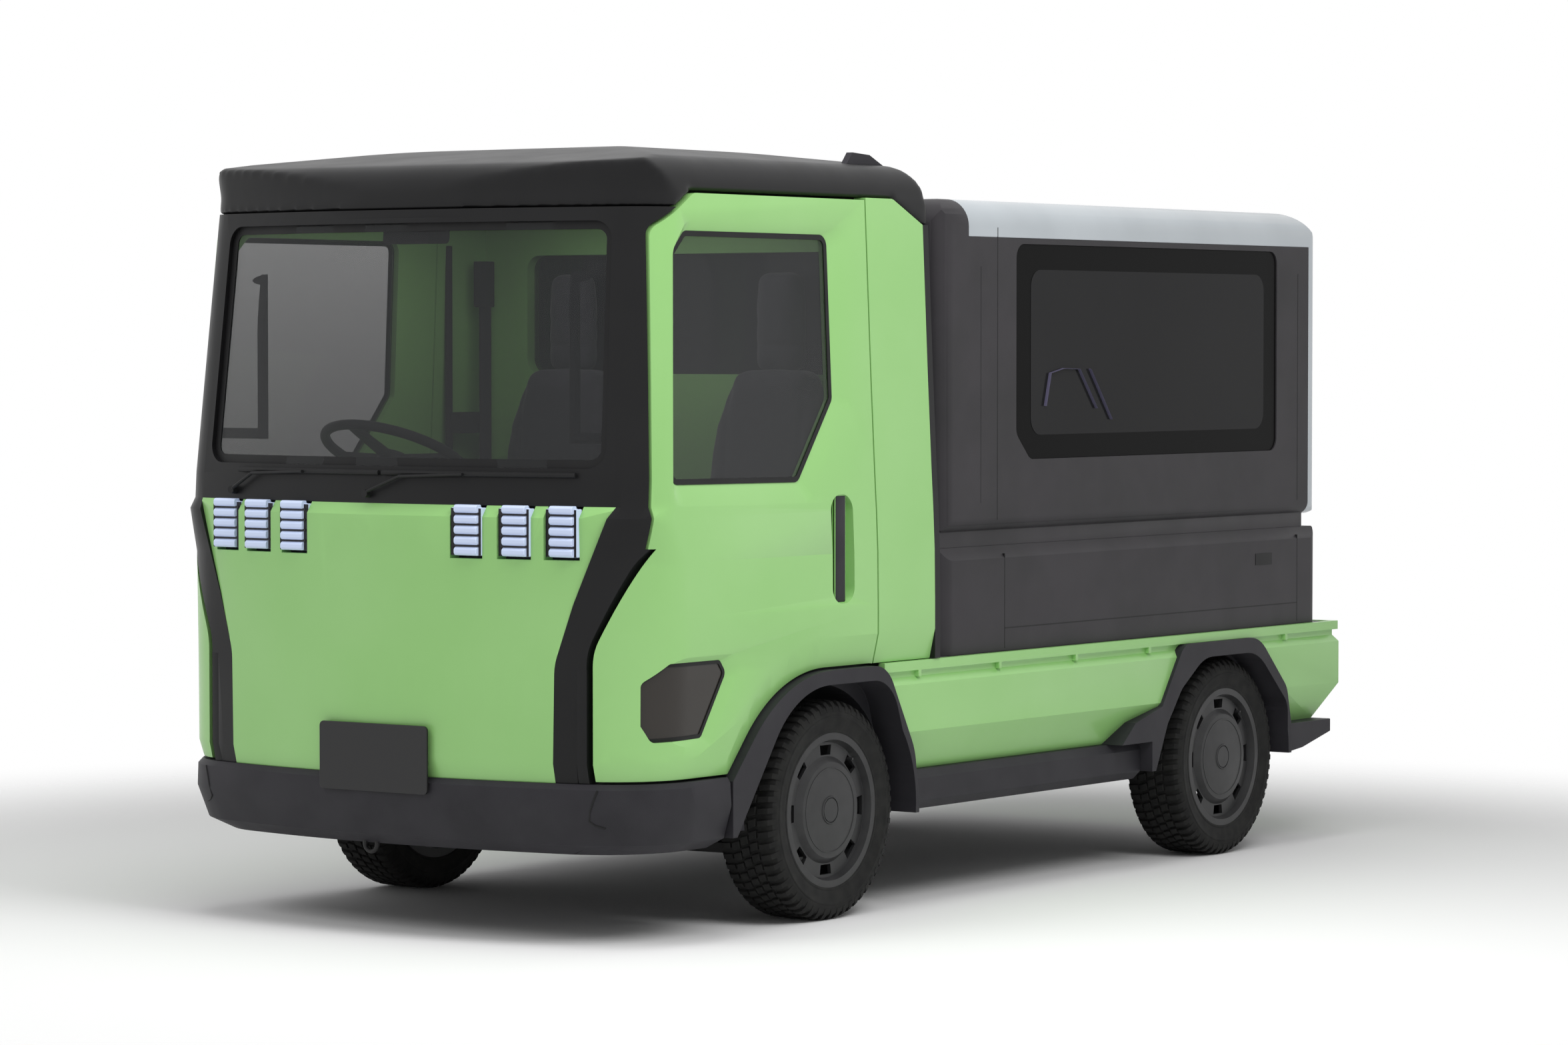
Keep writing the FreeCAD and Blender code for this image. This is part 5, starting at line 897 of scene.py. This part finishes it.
for name, body, face, pull_height, hinge_height in opening_panels:
    fittings = bmesh.new()
    slab(fittings, (-0.075, face - let_in, pull_height - 0.017), (0.075, face + 0.004, pull_height + 0.017))
    slab(fittings, (-0.055, face + 0.003, pull_height - 0.004), (0.055, face + 0.010, pull_height + 0.009))
    for middle in hinge_places:
        slab(
            fittings, (middle - hinge_half, face - let_in, hinge_height - 0.012),
            (middle + hinge_half, face + 0.003, hinge_height + 0.010))
    round_edges(fittings, fittings.edges[:], fittings_rounding, 2)
    finish_piece(name + "_fittings", fittings, moulded, body, "dark_plastic")


# Studio: a pale floor that fades into a white backdrop, three soft lamps round the truck and a small one
# under the cab's roof. The camera stands low and to the front left, with a long lens.
floor_radius = 9.0
fade_start = 2.2
fade_end = 4.2
floor_shape = bmesh.new()
bmesh.ops.create_circle(floor_shape, cap_ends=True, segments=96, radius=floor_radius)
floor_mesh = bpy.data.meshes.new("floor")
floor_shape.to_mesh(floor_mesh)
floor_shape.free()
# Matt white paper.
floor_finish = make_finish("white_paper", "#F4F4F4", Roughness=0.9, Specular_IOR_Level=0.1)
floor_tree = floor_finish.node_tree
floor_place = add_node(floor_tree, "ShaderNodeTexCoord", {}).outputs["Object"]
floor_reach = add_node(floor_tree, "ShaderNodeVectorMath", {"Vector": floor_place}, operation="LENGTH")
floor_fade = add_node(floor_tree, "ShaderNodeMapRange", {
    "Value": floor_reach.outputs["Value"], "From Min": fade_start, "From Max": fade_end, "To Min": 1.0,
    "To Max": 0.0,
}, interpolation_type="SMOOTHSTEP")
floor_tree.links.new(floor_fade.outputs["Result"], floor_tree.nodes["Principled BSDF"].inputs["Alpha"])
floor_mesh.materials.append(floor_finish)
floor = bpy.data.objects.new("floor", floor_mesh)
bpy.context.scene.collection.objects.link(floor)

plain_level = 0.38
white_level = 1.0
world = bpy.data.worlds.new("studio")
bpy.context.scene.world = world
world.use_nodes = True
sky = world.node_tree
ray = add_node(sky, "ShaderNodeLightPath", {})
seen = ray.outputs["Is Camera Ray"]
for kind in ("Is Glossy Ray", "Is Transmission Ray"):
    either = add_node(sky, "ShaderNodeMath", {0: seen, 1: ray.outputs[kind]}, operation="ADD", use_clamp=True)
    seen = either.outputs["Value"]
level = add_node(sky, "ShaderNodeMapRange", {"Value": seen, "To Min": plain_level, "To Max": white_level})
sky.nodes["Background"].inputs["Color"].default_value = linear("#FFFFFF")
sky.links.new(level.outputs["Result"], sky.nodes["Background"].inputs["Strength"])

for name, spot, target, power, width in (
    ("cab", (0.0, -1.02, 1.76), (0, -1.02, 0.5), 5, 0.7),
    ("top", (0.6, -1.4, 5.2), (0, -0.4, 0.8), 120, 3.5),
    ("left", (3.4, -1.8, 3.7), (0.5, -0.6, 1.3), 88, 2.0),
    ("front", (-1.0, -4.4, 3.4), (0, -1.6, 0.9), 42, 1.8),
):
    lamp = bpy.data.lights.new(name, "AREA")
    lamp.energy = power
    lamp.size = width
    lamp_object = bpy.data.objects.new(name, lamp)
    bpy.context.scene.collection.objects.link(lamp_object)
    aim = (Vector(target) - Vector(spot)).to_track_quat("-Z", "Y")
    lamp_object.matrix_world = Matrix.LocRotScale(Vector(spot), aim, None)
    lamp_object.visible_camera = False
    lamp_object.visible_glossy = False

lens = bpy.data.cameras.new("camera")
lens.lens = 113.02
lens.sensor_width = 36
camera = bpy.data.objects.new("camera", lens)
camera.location = (7.48, -10.634, 1.404)
camera.rotation_euler = (math.radians(87.92), 0, math.radians(35.14))
bpy.context.scene.collection.objects.link(camera)
bpy.context.scene.camera = camera
bpy.context.scene.view_settings.view_transform = "Standard"
